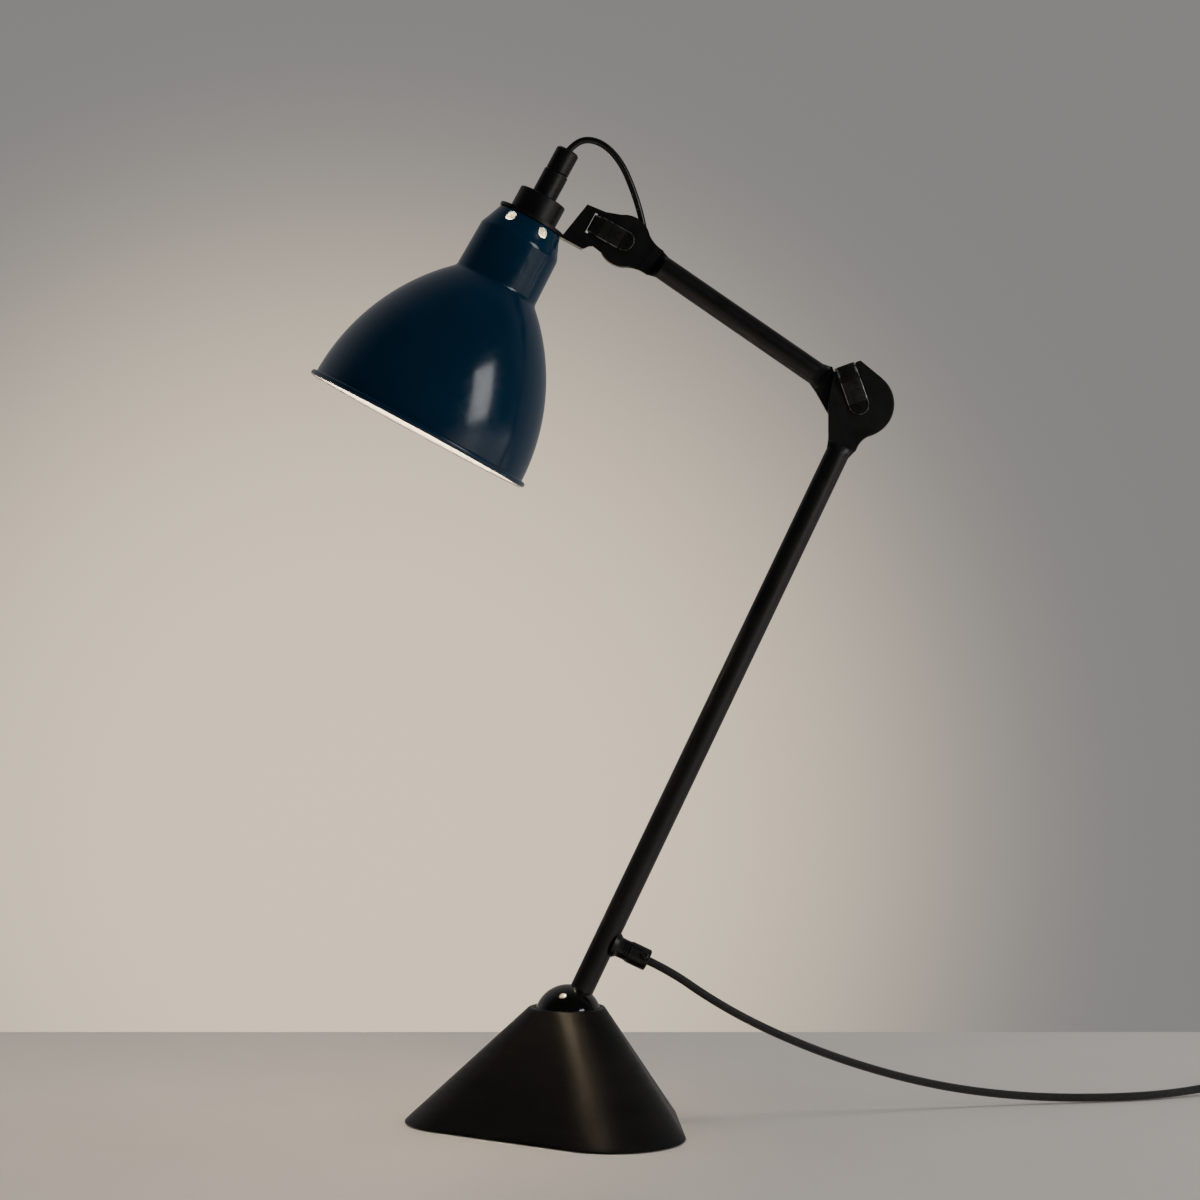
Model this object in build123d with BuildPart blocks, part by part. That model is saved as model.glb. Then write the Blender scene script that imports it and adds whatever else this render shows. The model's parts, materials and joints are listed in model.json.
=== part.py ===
from build123d import *
from math import acos, atan2, cos, hypot, pi, radians, sin, sqrt, tan
import os

# Architect desk lamp. Millimetres and degrees. +Z is up and the origin lies on the tabletop
# under the centre of the ball. Both arms and the shade's axis lie in the plane y = 0, and -Y is
# the lamp's front.

# ---- driving dimensions ----
# base: a rounded triangle that tapers to a round collar around the ball
BALL_R = 20.0
BALL_HEIGHT = 61.0
BASE_TOP = 67.8  # height of the collar's rim
BASE_TOP_R = 22.0
CORNER_R = 42.0  # radius of the footprint's three corners
CORNERS = [(-46.3, -28.9), (51.7, -28.9), (4.0, 33.5)]  # their centres, along and across the long side
BASE_TURN = -34.7  # direction of the long side, seen from above
SKIRT_FOOT = 0.5  # gap under the skirt's edge
SKIRT_WALL = 3.0
SOCKET_R = 20.35
CUP_R = 17.0
WEIGHT_TOP = 34.0
WEIGHT_BORE = 17.6
PAD_T = 1.6
PLATE_T = 2.4
PAD_INSET = 6.5
PLATE_INSET = 8.0

# arms: Ø14 tubes between flat pivot plates that lie face to face
LOWER_LEAN = 25.5  # from vertical, towards +X
LOWER_LENGTH = 400.0  # ball centre to elbow pivot
UPPER_LEAN = -55.4
UPPER_LENGTH = 169.0  # elbow pivot to head pivot
TUBE_R = 7.0
TUBE_BORE = 5.5
ELBOW_R = 19.4  # radius of the elbow's two discs
HEAD_R = 15.3  # radius of the head joint's two discs
NECK_ELBOW = 32.0  # where a tube meets its elbow plate, from the pivot
NECK_HEAD = 27.0
PLATE = 4.0  # thickness of a pivot plate
FACE_GAP = 0.3  # from the plane y = 0 to a plate's mating face
PIN_ELBOW_R = 3.0
PIN_HEAD_R = 2.5
PIN_PLAY = 0.05
WASHER_T = 0.5
CLIP_T = 1.0
CLIP_W = 12.0
CLIP_BEND_W = 10.4  # where the head's clip passes through its slot
CLIP_ASIDE = 1.6  # of the elbow's clip, from its pivot to the left
CLIP_DIRECTION = 110.0  # of the elbow's clip from its pivot, seen from the front
ELBOW_CLIP_REACH = 23.9  # from the pivot to the inside of the clip's bend
HEAD_CLIP_REACH = 21.4

# branch that brings the mains lead out of the lower arm
BRANCH_AT = 50.8  # up the arm from the ball's centre
BRANCH_R = 6.0
BRANCH_END = 14.7  # from the arm's axis
CAP_R = 6.5
CAP_END = 27.9
LEAD_R = 2.5

# head: the origin of its frame is the centre of the shade's flat top
HEAD_LEAN = 28.4
PIVOT_OUT = 54.2  # head pivot from the shade's axis
PIVOT_UP = 15.8
RING_T = 2.0
RING_R = 20.5
SHEET = 2.5  # the bracket's folded sheet
COLLAR_R = 14.6
COLLAR_TOP = 16.0
STEM_R = 7.5
STEM_TOP = 33.0
GRIP_R = 7.0
GRIP_TOP = 47.0
HEAD_CORD_R = 2.0
SHADE_H = 140.7
SHADE_T = 1.0
HOLDER_R = 13.5
BULB_R = 22.5
BULB_AT = -62.5  # centre of the bulb, along the shade's axis

# cord fittings on the table
COIL_CENTRE = (480.0, 60.0)
COIL_TURN_R = 29.0  # middle of its turns
COIL_HALF = 7.6
COIL_H = 13.8
SWITCH_L = 58.0
SWITCH_W = 23.0
SWITCH_H = 15.0
PLUG_L = 36.0
PIN_L = 19.0
PIN_PITCH = 19.0

os.makedirs("parts", exist_ok=True)


# ---- frames ----
def leaning(origin, lean):
    """A frame whose z axis leans from vertical towards +X and whose y axis is +Y."""
    s, c = sin(radians(lean)), cos(radians(lean))
    return Plane(origin=origin, x_dir=(c, 0, -s), z_dir=(s, 0, c))


def at(frame, x, y, z):
    return frame.from_local_coords(Vector(x, y, z))


def along(frame, x, y, z):
    return at(frame, x, y, z) - frame.origin


def face_on(frame, y=0.0):
    """The frame's own x-z plane at depth y, whose normal is the lamp's front."""
    return Plane(origin=at(frame, 0, y, 0), x_dir=frame.x_dir, z_dir=(0, -1, 0))


def edge_on(frame):
    """The frame's z-y plane: sketch x runs along the frame's z, sketch y towards +Y."""
    return Plane(origin=frame.origin, x_dir=frame.z_dir, z_dir=-frame.x_dir)


ball_centre = Vector(0, 0, BALL_HEIGHT)
lower = leaning(ball_centre, LOWER_LEAN)
elbow = at(lower, 0, 0, LOWER_LENGTH)
lower_end = leaning(elbow, LOWER_LEAN)
upper = leaning(elbow, UPPER_LEAN)
head_pivot = at(upper, 0, 0, UPPER_LENGTH)
upper_end = leaning(head_pivot, UPPER_LEAN)
head_top = head_pivot - along(leaning((0, 0, 0), HEAD_LEAN), PIVOT_OUT, 0, PIVOT_UP)
head = leaning(head_top, HEAD_LEAN)
branch = Plane(origin=at(lower, 0, 0, BRANCH_AT), x_dir=(0, 1, 0), z_dir=lower.x_dir)
clip_lean = leaning(elbow, 90 - CLIP_DIRECTION)
clip_frame = leaning(at(clip_lean, -CLIP_ASIDE, 0, 0), 90 - CLIP_DIRECTION)
head_clip_frame = Plane(origin=head_pivot, x_dir=head.z_dir, z_dir=-head.x_dir)
table_turn = Plane(origin=(0, 0, 0), x_dir=(cos(radians(BASE_TURN)), sin(radians(BASE_TURN)), 0),
                   z_dir=(0, 0, 1))


# ---- base ----
def footprint(height, inset=0.0, spread=1.0, radius=CORNER_R):
    """The rounded triangle at a height. spread draws its corners in towards the middle."""
    with BuildSketch(table_turn.offset(height)) as outline:
        with Locations(*[(x * spread, y * spread) for x, y in CORNERS]):
            Circle(radius - inset)
        make_hull(outline.edges())
    return outline.sketch


def taper(low, high, inset):
    """The base's outer shape between two heights, drawn in by inset."""
    top_spread = 0.05
    sections = []
    for height in (low, high):
        share = (height - SKIRT_FOOT) / (BASE_TOP - SKIRT_FOOT)
        spread = 1 + (top_spread - 1) * share
        radius = CORNER_R + (BASE_TOP_R - 1.6 - CORNER_R) * share
        sections.append(footprint(height, inset, spread, radius))
    return sections


CAVITY_TOP = 46.0
with BuildPart() as base_skirt:
    loft(taper(SKIRT_FOOT, BASE_TOP, 0), ruled=True)
    loft(taper(SKIRT_FOOT - 0.01, CAVITY_TOP, SKIRT_WALL * 1.25), ruled=True, mode=Mode.SUBTRACT)
    with Locations(ball_centre):
        Sphere(SOCKET_R, mode=Mode.SUBTRACT)
    with BuildSketch(Plane.XY.offset(CAVITY_TOP - 12)):
        Circle(CUP_R + FACE_GAP)
    extrude(amount=BALL_HEIGHT - CAVITY_TOP + 12, mode=Mode.SUBTRACT)

with BuildPart() as base_weight:
    loft(taper(PAD_T + PLATE_T + 0.4, WEIGHT_TOP, SKIRT_WALL * 1.25 + 0.4), ruled=True)
    with BuildSketch(Plane.XY):
        Circle(WEIGHT_BORE)
    extrude(amount=WEIGHT_TOP + 1, mode=Mode.SUBTRACT)
    with BuildSketch(table_turn):
        with Locations(*CORNERS):
            Circle(2.0)
    extrude(amount=18, mode=Mode.SUBTRACT)

with BuildPart() as bottom_plate:
    add(footprint(PAD_T, PLATE_INSET))
    extrude(amount=PLATE_T)
    with Locations(*[table_turn.offset(PAD_T) * Location((x, y, 0), (180, 0, 0)) for x, y in CORNERS]):
        CounterSinkHole(radius=2.2, counter_sink_radius=4.2, depth=PLATE_T)

with BuildPart() as plate_screws:
    for x, y in CORNERS:
        spot = table_turn * Location((x, y, PAD_T))
        with BuildSketch(Plane(spot)):
            Circle(1.95)
        extrude(amount=15)
        with Locations(spot * Location((0, 0, 0.95))):
            Cone(bottom_radius=3.9, top_radius=1.95, height=1.9)

with BuildPart() as foot_pad:
    add(footprint(0, PAD_INSET))
    extrude(amount=PAD_T)

with BuildPart() as spring_plug:
    with BuildSketch(Plane.XY.offset(5)):
        Circle(WEIGHT_BORE - 0.1)
    extrude(amount=7)
    with BuildSketch(Plane.XY.offset(5)):
        RegularPolygon(radius=5, side_count=6)
    extrude(amount=4, mode=Mode.SUBTRACT)

# eight dished washers, stacked in opposite pairs, press the cup up against the ball
WASHERS = 8
DISH_PITCH = 3.05
with BuildPart() as disc_springs:
    for n in range(WASHERS):
        foot = 12.1 + n * DISH_PITCH
        inner, outer = (1.6, 0) if n % 2 else (0, 1.6)
        with BuildSketch(Plane.XZ):
            Polygon((7, foot + inner), (15, foot + outer), (15, foot + outer + 1.4),
                    (7, foot + inner + 1.4), align=None)
        revolve(axis=Axis.Z)

with BuildPart() as friction_cup:
    with BuildSketch(Plane.XY.offset(37)):
        Circle(CUP_R)
    extrude(amount=12)
    with Locations(ball_centre):
        Sphere(BALL_R + 0.2, mode=Mode.SUBTRACT)
    with BuildSketch(Plane.XY.offset(37)):
        Circle(6)
    extrude(amount=12, mode=Mode.SUBTRACT)

# ---- ball ----
SEAT = 4.0  # depth of the tube's seat from the ball's centre
with BuildPart() as base_ball:
    with Locations(ball_centre):
        Sphere(BALL_R)
    with BuildSketch(lower.offset(SEAT)):
        Circle(TUBE_R + PIN_PLAY)
    extrude(amount=BALL_R, mode=Mode.SUBTRACT)
    with BuildSketch(lower.offset(SEAT)):
        Circle(2.6)
    extrude(amount=-BALL_R - SEAT, mode=Mode.SUBTRACT)
    with BuildSketch(lower.offset(-10)):
        Circle(5.0)
    extrude(amount=-BALL_R, mode=Mode.SUBTRACT)

# ---- lower arm ----
LOWER_TOP = LOWER_LENGTH - NECK_ELBOW
with BuildPart() as lower_tube:
    with BuildSketch(lower.offset(SEAT + 0.2)):
        Circle(TUBE_R)
        Circle(TUBE_BORE, mode=Mode.SUBTRACT)
    extrude(amount=LOWER_TOP - SEAT - 0.2)
    with BuildSketch(branch):
        Circle(LEAD_R + 0.5)
    extrude(amount=TUBE_R + 1, mode=Mode.SUBTRACT)

with BuildPart() as tube_plug:
    with BuildSketch(lower.offset(SEAT + 0.2)):
        Circle(TUBE_BORE)
        Circle(2.5, mode=Mode.SUBTRACT)
    extrude(amount=14)

with BuildPart() as ball_screw:
    with BuildSketch(lower.offset(SEAT + 12)):
        Circle(2.5)
    extrude(amount=-SEAT - 12 - 10.2)
    with BuildSketch(lower.offset(-10.2)):
        Circle(4.6)
    extrude(amount=-4.5)
    with BuildSketch(lower.offset(-14.7)):
        RegularPolygon(radius=2.3, side_count=6)
    extrude(amount=2.5, mode=Mode.SUBTRACT)


def neck(frame, far, near, half_width, direction, side):
    """A tube's round end drawn out into a flat: from a circle at far from the pivot to a slab at near."""
    middle = side * (FACE_GAP + PLATE / 2)
    with BuildPart() as piece:
        with BuildSketch(frame.offset(direction * far)) as ring:
            Circle(TUBE_R)
        with BuildSketch(frame.offset(direction * near)) as slab:
            with Locations((0, middle)):
                SlotOverall(2 * half_width - 0.3, PLATE - 0.2)
        loft([ring.sketch, slab.sketch])
    return piece.part


def pivot_plate(frame, disc_r, near, half_width, blend, direction, side, pin_r, web=False):
    """A disc with a short neck, blended, from its mating face outward. A web fills the crook of the arms."""
    end = near + 1
    with BuildPart() as piece:
        with BuildSketch(face_on(frame, side * FACE_GAP)) as outline:
            towards_tube = Align.MIN if direction > 0 else Align.MAX
            Rectangle(2 * half_width, end, align=(Align.CENTER, towards_tube))
            end_corners = [v for v in outline.vertices() if abs(v.Y) > 1]
            fillet(end_corners, 1.4)
            Circle(disc_r)
            if web:
                touch = atan2(end, half_width) - acos(disc_r / hypot(end, half_width))
                Polygon((0, 0), (-disc_r * cos(touch), direction * disc_r * sin(touch)),
                        (-half_width, direction * (end - 1.4)), (0, direction * (end - 1.4)), align=None)
            waists = [v for v in outline.vertices() if abs(abs(v.X) - half_width) < 0.1 and
                      abs(v.Y) < near - 1]
            fillet(waists, blend)
        extrude(amount=-side * PLATE)
        fillet(piece.faces().sort_by(Axis.Y)[-1 if side > 0 else 0].edges(), 0.7)
        with BuildSketch(face_on(frame)):
            Circle(pin_r)
        extrude(amount=20, both=True, mode=Mode.SUBTRACT)
    return piece.part


ELBOW_SLAB = 26.5
ELBOW_HALF = 8.9
EAR_R, EAR_ANGLE = 25.6, 18.7
NOTCH_HALF, NOTCH_FLOOR = 6.6, 23.2
SPIGOT = 12.0
ELBOW_BLEND = 13.0
lower_flat = pivot_plate(lower_end, ELBOW_R, ELBOW_SLAB, ELBOW_HALF, ELBOW_BLEND, -1, -1, PIN_ELBOW_R,
                         web=True)
lower_neck = neck(lower_end, NECK_ELBOW, ELBOW_SLAB, ELBOW_HALF, -1, -1)
with BuildPart() as lower_elbow_plate:
    add(lower_flat)
    add(lower_neck)
    # an ear stands beside the clip
    with BuildSketch(face_on(clip_frame, -FACE_GAP)) as ears:
        ear_x, ear_y = EAR_R * sin(radians(EAR_ANGLE)), EAR_R * cos(radians(EAR_ANGLE))
        side_x, side_y = ELBOW_R * sin(radians(59.4)), ELBOW_R * cos(radians(59.4))
        Polygon((side_x + CLIP_ASIDE, side_y), (ear_x + CLIP_ASIDE, ear_y), (NOTCH_HALF, ear_y),
                (NOTCH_HALF, NOTCH_FLOOR), (-NOTCH_HALF, NOTCH_FLOOR), (-side_x + CLIP_ASIDE, side_y),
                align=None)
        tips = [v for v in ears.vertices() if v.Y > NOTCH_FLOOR + 0.5]
        fillet(tips, 0.9)
        with Locations((0, 8)):
            Circle(6)
    extrude(amount=PLATE)
    with BuildSketch(lower_end.offset(-NECK_ELBOW)):
        Circle(TUBE_BORE)
    extrude(amount=-SPIGOT)
    with BuildSketch(lower_end.offset(-NECK_ELBOW + 4)):
        Circle(2.3)
    extrude(amount=-SPIGOT - 4, mode=Mode.SUBTRACT)
    with BuildSketch(face_on(lower_end)):
        Circle(PIN_ELBOW_R)
    extrude(amount=20, both=True, mode=Mode.SUBTRACT)

with BuildPart() as cord_branch:
    with BuildSketch(Plane(origin=branch.origin, x_dir=branch.z_dir, z_dir=(0, -1, 0))):
        Polygon((5, 0), (5, 8.2), (7.5, 7.4), (9.2, BRANCH_R), (11.4, BRANCH_R), (11.7, BRANCH_R - 0.35),
                (12.0, BRANCH_R), (12.9, BRANCH_R), (13.2, BRANCH_R - 0.35), (13.5, BRANCH_R),
                (BRANCH_END, BRANCH_R), (BRANCH_END, 0), align=None)
    revolve(axis=Axis(branch.origin, branch.z_dir))
    with BuildSketch(lower):
        Circle(TUBE_R)
    extrude(amount=2 * BRANCH_AT, mode=Mode.SUBTRACT)
    with BuildSketch(branch):
        Circle(LEAD_R + 0.2)
    extrude(amount=20, mode=Mode.SUBTRACT)

SCREW_AT, SCREW_RISE = 24.3, 25.0
screw_out = along(lower, 0, -cos(radians(SCREW_RISE)), sin(radians(SCREW_RISE)))
screw_plane = Plane(origin=at(lower, SCREW_AT, 0, BRANCH_AT), x_dir=lower.x_dir, z_dir=screw_out)
with BuildPart() as gland_cap:
    with BuildSketch(branch.offset(BRANCH_END)):
        Circle(CAP_R)
    extrude(amount=CAP_END - BRANCH_END)
    chamfer(gland_cap.edges().filter_by(GeomType.CIRCLE), 0.7)
    with BuildSketch(branch.offset(BRANCH_END)):
        Circle(LEAD_R + 0.1)
    extrude(amount=20, mode=Mode.SUBTRACT)
    with BuildSketch(screw_plane):
        Circle(1.5)
    extrude(amount=9, mode=Mode.SUBTRACT)
    with BuildSketch(screw_plane.offset(CAP_R - 0.7)):
        Circle(2.9)
    extrude(amount=2, mode=Mode.SUBTRACT)

with BuildPart() as gland_screw:
    with BuildSketch(screw_plane.offset(LEAD_R + 0.1)):
        Circle(1.4)
    extrude(amount=CAP_R - 0.7 - LEAD_R)
    with BuildSketch(screw_plane.offset(CAP_R - 0.7)):
        Circle(2.65)
    extrude(amount=1.7)
    screw_rims = gland_screw.edges().filter_by(GeomType.CIRCLE)
    fillet(screw_rims.sort_by(Axis(screw_plane.origin, screw_out))[-1], 1.0)
    with BuildSketch(screw_plane.offset(CAP_R + 0.4)):
        Rectangle(3.2, 0.6)
    extrude(amount=2, mode=Mode.SUBTRACT)

with BuildPart() as lower_wire:
    with BuildLine() as lower_wire_path:
        FilletPolyline(at(lower, CAP_END, 0, BRANCH_AT), at(lower, 0, 0, BRANCH_AT),
                       at(lower, 0, 0, LOWER_TOP + 2), radius=4.5)
    with BuildSketch(Plane(origin=lower_wire_path.line @ 0, z_dir=lower_wire_path.line % 0)):
        Circle(2.0)
    sweep()

with BuildPart() as elbow_pin:
    with BuildSketch(face_on(leaning(elbow, 0))):
        Circle(PIN_ELBOW_R)
    extrude(amount=FACE_GAP + PLATE, both=True)

with BuildPart() as elbow_washer:
    with BuildSketch(face_on(leaning(elbow, 0))):
        Circle(ELBOW_R - 1.4)
        Circle(PIN_ELBOW_R + 0.1, mode=Mode.SUBTRACT)
    extrude(amount=WASHER_T / 2, both=True)


def spring_clip(frame, reach, front, bend_width):
    """A strap bent to a U over both plates. front is the depth of the front plate's outer face."""
    rear = FACE_GAP + PLATE
    with BuildPart() as piece:
        with BuildSketch(edge_on(frame)):
            with BuildLine() as strap:
                FilletPolyline((-6, front - 1.9), (1.4, front - 0.1), (15, front - 1.7),
                               (reach, front - 0.7), (reach, rear + 0.9), (15, rear + 2.0),
                               (1.4, rear + 0.35), (-6, rear + 2.0), radius=(1.5, 3, 1.2, 1.2, 3, 1.5))
                offset(strap.line, amount=CLIP_T, side=Side.RIGHT, mode=Mode.REPLACE)
            make_face()
        extrude(amount=CLIP_W / 2, both=True)
        with BuildSketch(face_on(frame)):
            Circle(CLIP_W / 2)
            with Locations((0, 8)):
                Rectangle(CLIP_W, 16)
            Polygon((-CLIP_W / 2, 16), (CLIP_W / 2, 16), (bend_width / 2, 22), (bend_width / 2, 30),
                    (-bend_width / 2, 30), (-bend_width / 2, 22), align=None)
        extrude(amount=20, both=True, mode=Mode.INTERSECT)
    return piece


elbow_clip = spring_clip(clip_frame, ELBOW_CLIP_REACH, -FACE_GAP - PLATE, CLIP_W)

# ---- upper arm ----
TUBE_HEAD = UPPER_LENGTH - NECK_HEAD
GROMMET_AT = UPPER_LENGTH - 36.0
GROMMET_SLOPE = 38.0  # of the wire's way out, from the arm's axis
way_out = along(upper, 0, sin(radians(GROMMET_SLOPE)), cos(radians(GROMMET_SLOPE)))
grommet_plane = Plane(origin=at(upper, 0, 0, GROMMET_AT - 9), x_dir=upper.x_dir, z_dir=way_out)
GROMMET_R = 3.6
GROMMET_START, GROMMET_END = 9.5, 15.5
with BuildPart() as upper_tube:
    with BuildSketch(upper.offset(NECK_ELBOW)):
        Circle(TUBE_R)
        Circle(TUBE_BORE, mode=Mode.SUBTRACT)
    extrude(amount=TUBE_HEAD - NECK_ELBOW)
    with BuildSketch(grommet_plane):
        Circle(GROMMET_R)
    extrude(amount=GROMMET_END + 6, mode=Mode.SUBTRACT)

upper_flat = pivot_plate(upper, ELBOW_R, ELBOW_SLAB, ELBOW_HALF, ELBOW_BLEND, 1, 1, PIN_ELBOW_R + PIN_PLAY,
                         web=True)
upper_neck = neck(upper, NECK_ELBOW, ELBOW_SLAB, ELBOW_HALF, 1, 1)
with BuildPart() as upper_elbow_plate:
    add(upper_flat)
    add(upper_neck)
    with BuildSketch(upper.offset(NECK_ELBOW)):
        Circle(TUBE_BORE)
    extrude(amount=SPIGOT)
    with BuildSketch(upper.offset(NECK_ELBOW - 4)):
        Circle(2.3)
    extrude(amount=SPIGOT + 4, mode=Mode.SUBTRACT)
    # a step that stops against the bend of the clip
    with BuildSketch(face_on(clip_frame, 8)):
        with Locations((0, ELBOW_CLIP_REACH + 2)):
            Rectangle(CLIP_W + 1, 6)
    extrude(amount=16, mode=Mode.SUBTRACT)

HEAD_SLAB = 22.0
HEAD_HALF = 8.6
HEAD_BLEND = 20.0
head_flat = pivot_plate(upper_end, HEAD_R, HEAD_SLAB, HEAD_HALF, HEAD_BLEND, -1, 1, PIN_HEAD_R + PIN_PLAY)
head_neck = neck(upper_end, NECK_HEAD, HEAD_SLAB, HEAD_HALF, -1, 1)
with BuildPart() as upper_head_plate:
    add(head_flat)
    add(head_neck)
    with BuildSketch(upper_end.offset(-NECK_HEAD)):
        Circle(TUBE_BORE)
    extrude(amount=-2.5)

with BuildPart() as wire_grommet:
    with BuildSketch(grommet_plane.offset(GROMMET_START)):
        Circle(GROMMET_R)
    extrude(amount=GROMMET_END - GROMMET_START)
    grommet_rims = wire_grommet.edges().filter_by(GeomType.CIRCLE)
    fillet(grommet_rims.sort_by(Axis(grommet_plane.origin, way_out))[-1], 1.0)
    with BuildSketch(grommet_plane):
        Circle(HEAD_CORD_R + 0.1)
    extrude(amount=20, mode=Mode.SUBTRACT)

with BuildPart() as upper_wire:
    with BuildLine() as upper_wire_path:
        FilletPolyline(at(upper, 0, 0, NECK_ELBOW - 2), grommet_plane.origin,
                       grommet_plane.origin + way_out * GROMMET_END, radius=20)
    with BuildSketch(Plane(origin=upper_wire_path.line @ 0, z_dir=upper_wire_path.line % 0)):
        Circle(1.9)
    sweep()

# ---- head ----
with BuildPart() as head_bracket:
    with BuildSketch(head):
        Circle(RING_R)
        with Locations((RING_R - 6, -FACE_GAP - SHEET)):
            Rectangle(19.4, SHEET + FACE_GAP + 9, align=(Align.MIN, Align.MIN))
        Circle(HOLDER_R + 0.2, mode=Mode.SUBTRACT)
    extrude(amount=RING_T)
    with BuildSketch(face_on(head, -FACE_GAP)) as flank:
        Polygon((20.4, 0), (35, 0), (37.4, 3.1), (39.4, 4.2), (51.9, 2.2), (PIVOT_OUT, PIVOT_UP),
                (51.8, 30.6), (36.7, 25.5), (25.0, 24.3), (21.1, 3.6), align=None)
        tab_end = [v for v in flank.vertices() if 34 < v.X < 36]
        top_corner = [v for v in flank.vertices() if v.X < 26 and v.Y > 20]
        fillet(tab_end, 1.6)
        fillet(top_corner, 2.8)
        with Locations((PIVOT_OUT, PIVOT_UP)):
            Circle(HEAD_R)
            Circle(PIN_HEAD_R, mode=Mode.SUBTRACT)
        with Locations((PIVOT_OUT - HEAD_CLIP_REACH - CLIP_T / 2, PIVOT_UP)):
            Rectangle(CLIP_T + 0.8, CLIP_W + 1, mode=Mode.SUBTRACT)
    extrude(amount=SHEET)

with BuildPart() as head_pin:
    with BuildSketch(face_on(leaning(head_pivot, 0), FACE_GAP + PLATE)):
        Circle(PIN_HEAD_R)
    extrude(amount=2 * FACE_GAP + PLATE + SHEET)

with BuildPart() as head_washer:
    with BuildSketch(face_on(leaning(head_pivot, 0))):
        Circle(HEAD_R - 1.3)
        Circle(PIN_HEAD_R + 0.1, mode=Mode.SUBTRACT)
    extrude(amount=WASHER_T / 2, both=True)

head_clip = spring_clip(head_clip_frame, HEAD_CLIP_REACH, -FACE_GAP - SHEET, CLIP_BEND_W)

with BuildPart() as lampholder_body:
    with BuildSketch(head.offset(-34)):
        Circle(HOLDER_R)
    extrude(amount=36)
    with BuildSketch(head.offset(2)):
        Circle(COLLAR_R - 2.2)
    extrude(amount=9)
    with BuildSketch(head.offset(-34)):
        Circle(8.2)
    extrude(amount=26, mode=Mode.SUBTRACT)
    with BuildSketch(head.offset(-9)):
        Circle(2.4)
    extrude(amount=30, mode=Mode.SUBTRACT)

with BuildPart() as lampholder_collar:
    with BuildSketch(head.offset(RING_T)):
        Circle(COLLAR_R)
    extrude(amount=COLLAR_TOP - RING_T)
    chamfer(lampholder_collar.edges().filter_by(GeomType.CIRCLE), 0.6)
    with BuildSketch(head.offset(RING_T)):
        Circle(COLLAR_R - 2.1)
    extrude(amount=10, mode=Mode.SUBTRACT)
    with BuildSketch(head.offset(RING_T)):
        Circle(5.0)
    extrude(amount=20, mode=Mode.SUBTRACT)

with BuildPart() as stem_tube:
    with BuildSketch(Plane(origin=head.origin, x_dir=head.x_dir, z_dir=(0, -1, 0))):
        Polygon((3.4, 12.2), (4.9, 12.2), (4.9, COLLAR_TOP), (STEM_R, COLLAR_TOP), (STEM_R, STEM_TOP - 1.2),
                (STEM_R - 0.6, STEM_TOP - 0.6), (STEM_R - 0.9, STEM_TOP), (4.9, STEM_TOP),
                (4.9, STEM_TOP + 6), (3.4, STEM_TOP + 6), align=None)
    revolve(axis=Axis(head.origin, head.z_dir))

with BuildPart() as cord_grip_cap:
    with BuildSketch(head.offset(STEM_TOP)):
        Circle(GRIP_R)
    extrude(amount=GRIP_TOP - STEM_TOP)
    cap_rims = cord_grip_cap.edges().filter_by(GeomType.CIRCLE)
    chamfer(cap_rims.sort_by(Axis(head.origin, head.z_dir))[-1], 1.0)
    with BuildSketch(head.offset(STEM_TOP)):
        Circle(5.0)
    extrude(amount=6.2, mode=Mode.SUBTRACT)
    with BuildSketch(head.offset(STEM_TOP)):
        Circle(HEAD_CORD_R + 0.2)
    extrude(amount=20, mode=Mode.SUBTRACT)

with BuildPart() as screw_shell:
    with BuildSketch(head.offset(-33)):
        Circle(8.1)
        Circle(7.2, mode=Mode.SUBTRACT)
    extrude(amount=22)

with BuildPart() as centre_contact:
    with BuildSketch(head.offset(-11.5)):
        Circle(3.2)
    extrude(amount=3.4)

with BuildPart() as bulb_cap:
    with BuildSketch(head.offset(-38)):
        Circle(6.9)
    extrude(amount=24)
    with BuildSketch(head.offset(-14)):
        Circle(2.4)
    extrude(amount=2.4)

with BuildPart() as bulb_glass:
    with BuildSketch(Plane(origin=head.origin, x_dir=head.x_dir, z_dir=(0, -1, 0))):
        with BuildLine():
            foot = Line((0, BULB_AT - BULB_R), (0, -38.1))
            top = Line(foot @ 1, (7.0, -38.1))
            neck_side = Line(top @ 1, (9.5, BULB_AT + sqrt(BULB_R**2 - 9.5**2)))
            ThreePointArc(neck_side @ 1, (BULB_R, BULB_AT), foot @ 0)
        make_face()
    revolve(axis=Axis(head.origin, head.z_dir))

# the shade's outer line, from its flat top to its rim, as (radius, height below the top)
BELL_R, BELL_X, BELL_Z = 132.0, -63.7, -140.0


def bell(z):
    return BELL_X + sqrt(BELL_R**2 - (z - BELL_Z) ** 2)


with BuildPart() as shade:
    with BuildSketch(Plane(origin=head.origin, x_dir=head.x_dir, z_dir=(0, -1, 0))):
        with BuildLine() as spun:
            throat = FilletPolyline((HOLDER_R + 0.2, 0), (19.6, 0), (23.3, -9.4), (25.2, -13.7),
                                    (26.0, -43.2), radius=(1.2, 3, 6))
            ThreePointArc(throat @ 1, (bell(-92), -92), (bell(-139), -139))
            offset(spun.line, amount=SHADE_T, side=Side.RIGHT, mode=Mode.REPLACE)
        make_face()
        with Locations((69.2, -138.9)):
            Circle(1.75)
    revolve(axis=Axis(head.origin, head.z_dir))
    for n in range(6):
        turn = radians(-58 + 60 * n)
        out = along(head, cos(turn) * 9.4, sin(turn) * 9.4, 3.7)
        spot = at(head, cos(turn) * 21.4, sin(turn) * 21.4, -4.4)
        with BuildSketch(Plane(origin=spot, z_dir=out)):
            Circle(3.2)
        extrude(amount=4, both=True, mode=Mode.SUBTRACT)

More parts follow.
